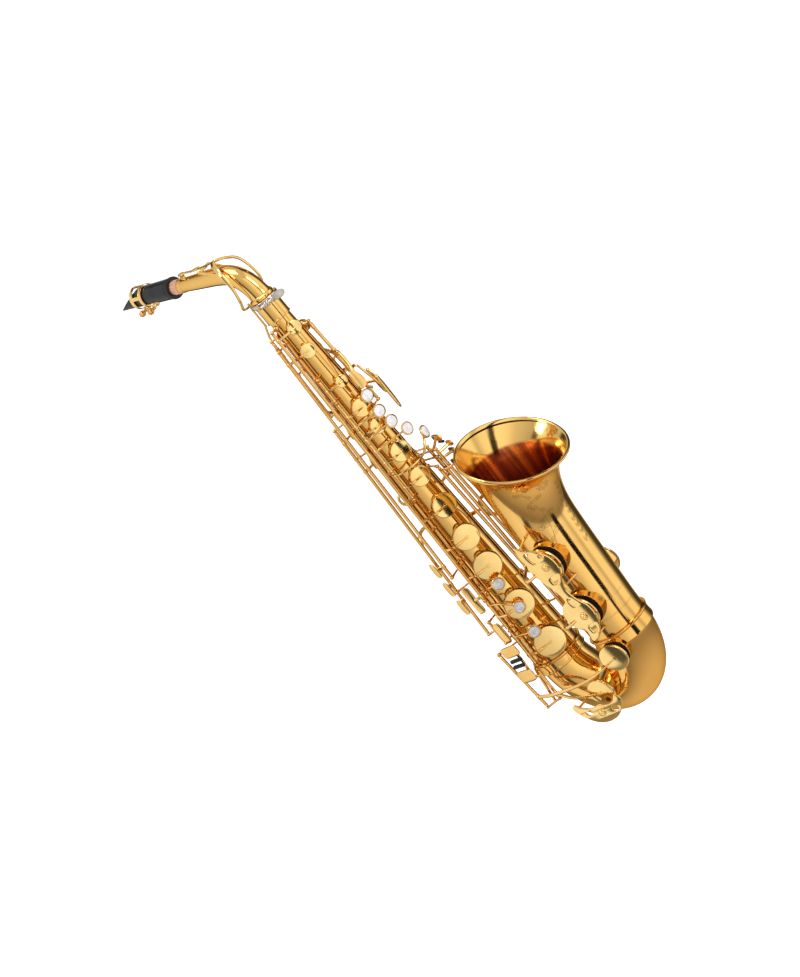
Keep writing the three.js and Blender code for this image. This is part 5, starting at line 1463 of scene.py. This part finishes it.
def build_mouthpiece():
    sh = Shape()
    rings = []

    def ring(z, r, top=FREE, floor=-FREE, side=FREE):
        out = []
        for c, s in circle(MP_SIDES):
            out.append(V(max(-side, min(side, r * c)), max(floor, min(top, r * s)), z))
        return out

    for z, r in ((0, 11.9), (0.5, 12.3), (1.2, 12.4), (2.6, 12.4), (3.3, 11.8), (3.6, 11.6), (10, 11.5),
                 (20, 11.35), (29.5, 11.25), (30.6, 11.2)):
        rings.append(ring(z, r))
    slope = 16 / MP_BEAK
    for t in steps(30):               # the beak: cut flat below, sloped above, drawn in at the tip
        z = 31 + (MP_LENGTH - 31) * t
        r = 11.2 - 0.8 * t
        top = min(r, TABLE_Y + 1.2 + (MP_LENGTH - z) * slope + 0.55 * math.sin(math.pi * t))
        rings.append(ring(z, r, max(top, TABLE_Y + 1.0), TABLE_Y,
                          FREE if t < 0.66 else r - 3 * (t - 2 / 3)))
    grid(sh, rings, 0, cap0=False)
    revolve(sh, [(11.9, 0), (8.6, 0), (8.35, 0.4), (8.35, 18)], V(0, 0, 0), Z, 48, 0, cap=False)
    for z in (5.2, 6.6):
        revolve(sh, [(11.2, z), (11.72, z + 0.15), (11.72, z + 0.55), (11.2, z + 0.7)], V(0, 0, 0), Z, 64,
                0, close=True)
    # the window into the chamber: a dark sheet of painted shade just under the table
    win = Shape()
    rect = [(-4.4, MP_LENGTH - 29), (4.4, MP_LENGTH - 29), (4.4, MP_LENGTH - 4), (-4.4, MP_LENGTH - 4)]
    win.add([V(x, TABLE_Y - 0.02, z) for x, z in rect], [[0, 1, 2, 3]])
    for s in (sh, win):
        s.turn(MP_MATRIX)
        s.turn(NECK_TURNED)
    make("mouthpiece_body", sh, [M_BLACK], "mouthpiece", "mouthpiece", angle=26)
    make("mouthpiece_window_shade", win, [M_BORE_SHADE], "mouthpiece")


def build_reed():
    sh = Shape()
    rings = []
    for t in steps(24):
        z = 33 + (MP_LENGTH - 33.5) * t
        d = 2.2 if t < 0.45 else 2.2 - 1.9 * ((t - 0.45) / 0.55)**0.8
        w = 6.0 + 0.2 * t
        y0 = TABLE_Y - GAP
        ring = [(-w, 0), (w, 0)]
        for k in range(11):
            a = math.pi * k / 10
            ring.append((w * math.cos(a), -d * (0.45 + 0.55 * math.sin(a))))
        rings.append([V(x, y0 + y, z) for x, y in ring])
    grid(sh, rings)
    sh.turn(MP_MATRIX)
    sh.turn(NECK_TURNED)
    make("reed_cane", sh, [M_CANE], "mouthpiece", "reed", angle=50)


def build_ligature():
    sh = Shape()
    for z in (45.5, 60.5):
        revolve(sh, [(12.05, 0.2), (12.2, 0), (12.8, 0), (13, 0.25), (12.85, 0.7), (12.85, 4.3), (13, 4.75),
                     (12.8, 5), (12.2, 5), (12.05, 4.8)], V(0, 0, z), Z, 64, 0, close=True)
    for a in (0.35, math.pi - 0.35, math.pi / 2):
        c = V(12.4 * math.cos(a), 12.4 * math.sin(a), 55.5)
        sweep(sh, [c - Z * 10.2, c - Z * 4, c, c + Z * 4, c + Z * 10.2], 4.2, 1.1,
              V(math.cos(a), math.sin(a), 0))
    for z in (48, 63):
        for x in (-3, 3):
            plate(sh, V(x, -14.6, z), V(1, 0, 0), V(0, 1, 0), 5.4, 4.6, 1.9, power=2.4)
    sh.turn(MP_MATRIX)
    sh.turn(NECK_TURNED)
    make("ligature_bands", sh, [M_LIT_BRASS], "mouthpiece", "ligature")
    for z, name in ((48, "ligature_screw_rear"), (63, "ligature_screw_front")):
        screw = Shape()
        flip = -1 if MP_SIDE.y < 0 else 1
        at = lambda t: V(t * flip, -15.4, z)
        rod(screw, at(-6), at(7), 0.95, 14, ends=0.2)
        revolve(screw, [(0, 0), (1.6, 0), (1.8, 0.6), (1.4, 1.4), (2.2, 2.4), (3.2, 3.2), (3.5, 4.2),
                        (3.5, 6.4), (3.0, 7.8), (2.0, 9.0), (0, 9.4)], at(4.4), V(flip, 0, 0), 32)
        for c, s in circle(16):      # knurling
            d = V(0, c, s)
            sweep(screw, [at(8.8) + d * 3.45, at(10.6) + d * 3.45], 0.4, 0.4, d, n=6)
        screw.turn(MP_MATRIX)
        screw.turn(NECK_TURNED)
        make(name + "_turned", screw, [M_SHADED_BRASS], name, name)


build_mouthpiece()
build_reed()
build_ligature()

# ---------- floor, light and camera ----------
FLOOR_Z = -0.95                       # the instrument hangs from its strap ring, well above the floor
FLOOR_HALF = 60


def stage_mesh(name, verts, faces, look):
    me = bpy.data.meshes.new(name)
    me.from_pydata(verts, [], faces)
    me.materials.append(look)
    ob = bpy.data.objects.new(name, me)
    bpy.context.scene.collection.objects.link(ob)
    return ob


floor_look = Nodes("floor_pale")
floor_look.put(Base_Color=floor_look.mix(floor_look.noise(1.5, 2), (0.93, 0.93, 0.93), (0.95, 0.95, 0.95)),
               Roughness=0.95, Specular_IOR_Level=0.0, Emission_Color=(1.0, 1.0, 1.0),
               Emission_Strength=0.6)
CORNERS = ((-1, -1), (1, -1), (1, 1), (-1, 1))
floor = stage_mesh("floor", [(x * FLOOR_HALF, y * FLOOR_HALF, FLOOR_Z) for x, y in CORNERS],
                   [(0, 1, 2, 3)], floor_look.mat)
floor.visible_glossy = False

# A drum of light and dark cloths round the object, seen only in its reflections.
DRUM_R, DRUM_LOW, DRUM_HIGH, DRUM_SEG = 1.3, -0.9, 1.6, 96
BANDS = [(0.00, 0.80), (0.05, 0.95), (0.13, 1.10), (0.17, 1.05), (0.18, 0.10), (0.215, 0.08), (0.225, 0.55),
         (0.28, 0.72), (0.33, 0.86), (0.365, 1.12), (0.423, 1.35), (0.428, 0.01), (0.447, 0.01),
         (0.452, 1.30), (0.50, 1.10), (0.53, 0.70), (0.56, 1.25), (0.62, 1.20), (0.65, 0.45), (0.68, 0.08),
         (0.75, 0.06), (0.79, 0.55), (0.86, 0.60), (0.89, 0.05), (0.94, 0.05), (0.96, 0.60), (1.00, 0.80)]
drum_look = Nodes("drum_cloths")
sep = drum_look.new("ShaderNodeSeparateXYZ")
drum_look.link(drum_look.coord, sep.inputs[0])
angle = drum_look.math("ARCTAN2", sep.outputs["Y"], sep.outputs["X"])
turns = drum_look.span(angle, -math.pi, math.pi)
cloth_light = BANDS[0][1]
for (start, lo), (end, hi) in zip(BANDS, BANDS[1:]):       # one straight piece of the band curve each
    cloth_light = drum_look.math("ADD", drum_look.span(turns, start, end, 0.0, hi - lo), cloth_light)
drum_look.glow((1.0, 0.97, 0.92), cloth_light)
ring_pts = [(DRUM_R * c, DRUM_R * s) for c, s in circle(DRUM_SEG)]
drum = stage_mesh("drum", [(x, y, h) for h in (DRUM_LOW, DRUM_HIGH) for x, y in ring_pts],
                  [(k, (k + 1) % DRUM_SEG, DRUM_SEG + (k + 1) % DRUM_SEG, DRUM_SEG + k)
                   for k in range(DRUM_SEG)],
                  drum_look.mat)
BASE_MIDDLE = (0.1, 0.0, DRUM_LOW)
BASE_NEAR, BASE_FAR = (0.25, 0.80), (1.1, 0.30)                # distance from the middle, strength
base_look = Nodes("drum_base")
from_middle = base_look.new("ShaderNodeVectorMath", operation="DISTANCE")
base_look.link(base_look.coord, from_middle.inputs[0])
from_middle.inputs[1].default_value = BASE_MIDDLE
base_look.glow((1.0, 0.86, 0.72), base_look.span(from_middle.outputs["Value"], BASE_NEAR[0], BASE_FAR[0],
                                                 BASE_NEAR[1], BASE_FAR[1]))
base = stage_mesh("drum_base", [(x, y, DRUM_LOW) for x, y in ring_pts], [list(range(DRUM_SEG))],
                  base_look.mat)
card_look = Nodes("black_card").put(Base_Color=(0.004, 0.004, 0.004), Specular_IOR_Level=0.0)
# the card's long dark reflection lies on the bell
CARD = dict(x=0.455, y=-0.129, low=-0.36, high=-0.02, half=0.045)
card_side = Vector((CARD["y"], 0.13 - CARD["x"])).normalized() * CARD["half"]
card = stage_mesh("card", [(CARD["x"] + k * card_side.x, CARD["y"] + k * card_side.y, h)
                           for h in (CARD["low"], CARD["high"]) for k in (-1, 1)], [(0, 1, 3, 2)],
                           card_look)
for ob in (drum, base, card):          # in reflections only
    ob.visible_camera = False
    ob.visible_diffuse = False
    ob.visible_shadow = False
    ob.visible_transmission = False

bpy.context.scene.view_settings.view_transform = "Standard"
world = bpy.data.worlds.new("studio")
bpy.context.scene.world = world
world.use_nodes = True
world.node_tree.nodes["Background"].inputs["Color"].default_value = (1.0, 1.0, 1.0, 1)
world.node_tree.nodes["Background"].inputs["Strength"].default_value = 0.75
LIGHT_AIM = Vector((0.03, 0, 0))


def softbox(name, loc, size, power):
    """An area light that faces the instrument; metres and watts."""
    light = bpy.data.lights.new(name, "AREA")
    light.shape = "RECTANGLE"
    light.size, light.size_y = size
    light.energy = power
    ob = bpy.data.objects.new(name, light)
    ob.location = loc
    ob.rotation_euler = (LIGHT_AIM - Vector(loc)).to_track_quat("-Z", "Y").to_euler()
    bpy.context.scene.collection.objects.link(ob)


softbox("key_light", (-0.5, -1.1, 1.3), (0.5, 0.9), 9)
softbox("fill_light", (1.2, -0.1, 0.7), (0.4, 1.0), 5)
softbox("top_light", (0.1, -0.2, 2.4), (1.2, 1.2), 14)

# the photograph's view: degrees, degrees, degrees, metres
AZ, EL, ROLL, AWAY = 41.39, 14.5, 40.04, 3.0
# focal length and long side in pixels, sensor in mm
FOCAL, LONG_SIDE, SENSOR = 2843.0, 977.0, 36.0
TARGET = Vector((0.0336, -0.0324, 0.0247))
back = Vector((math.sin(rad(AZ)) * math.cos(rad(EL)), -math.cos(rad(AZ)) * math.cos(rad(EL)),
               math.sin(rad(EL))))
right = Vector((math.cos(rad(AZ)), math.sin(rad(AZ)), 0))
up = back.cross(right)
cam_x = right * math.cos(rad(ROLL)) - up * math.sin(rad(ROLL))
cam_y = right * math.sin(rad(ROLL)) + up * math.cos(rad(ROLL))
cam = bpy.data.cameras.new("camera")
cam.sensor_width = SENSOR
cam.lens = FOCAL * SENSOR / LONG_SIDE
cam.dof.use_dof = False
cam_ob = bpy.data.objects.new("camera", cam)
cam_ob.matrix_world = Matrix.Translation(TARGET + back * AWAY) @ Matrix((
    (cam_x.x, cam_y.x, back.x), (cam_x.y, cam_y.y, back.y), (cam_x.z, cam_y.z, back.z))).to_4x4()
bpy.context.scene.collection.objects.link(cam_ob)
bpy.context.scene.camera = cam_ob
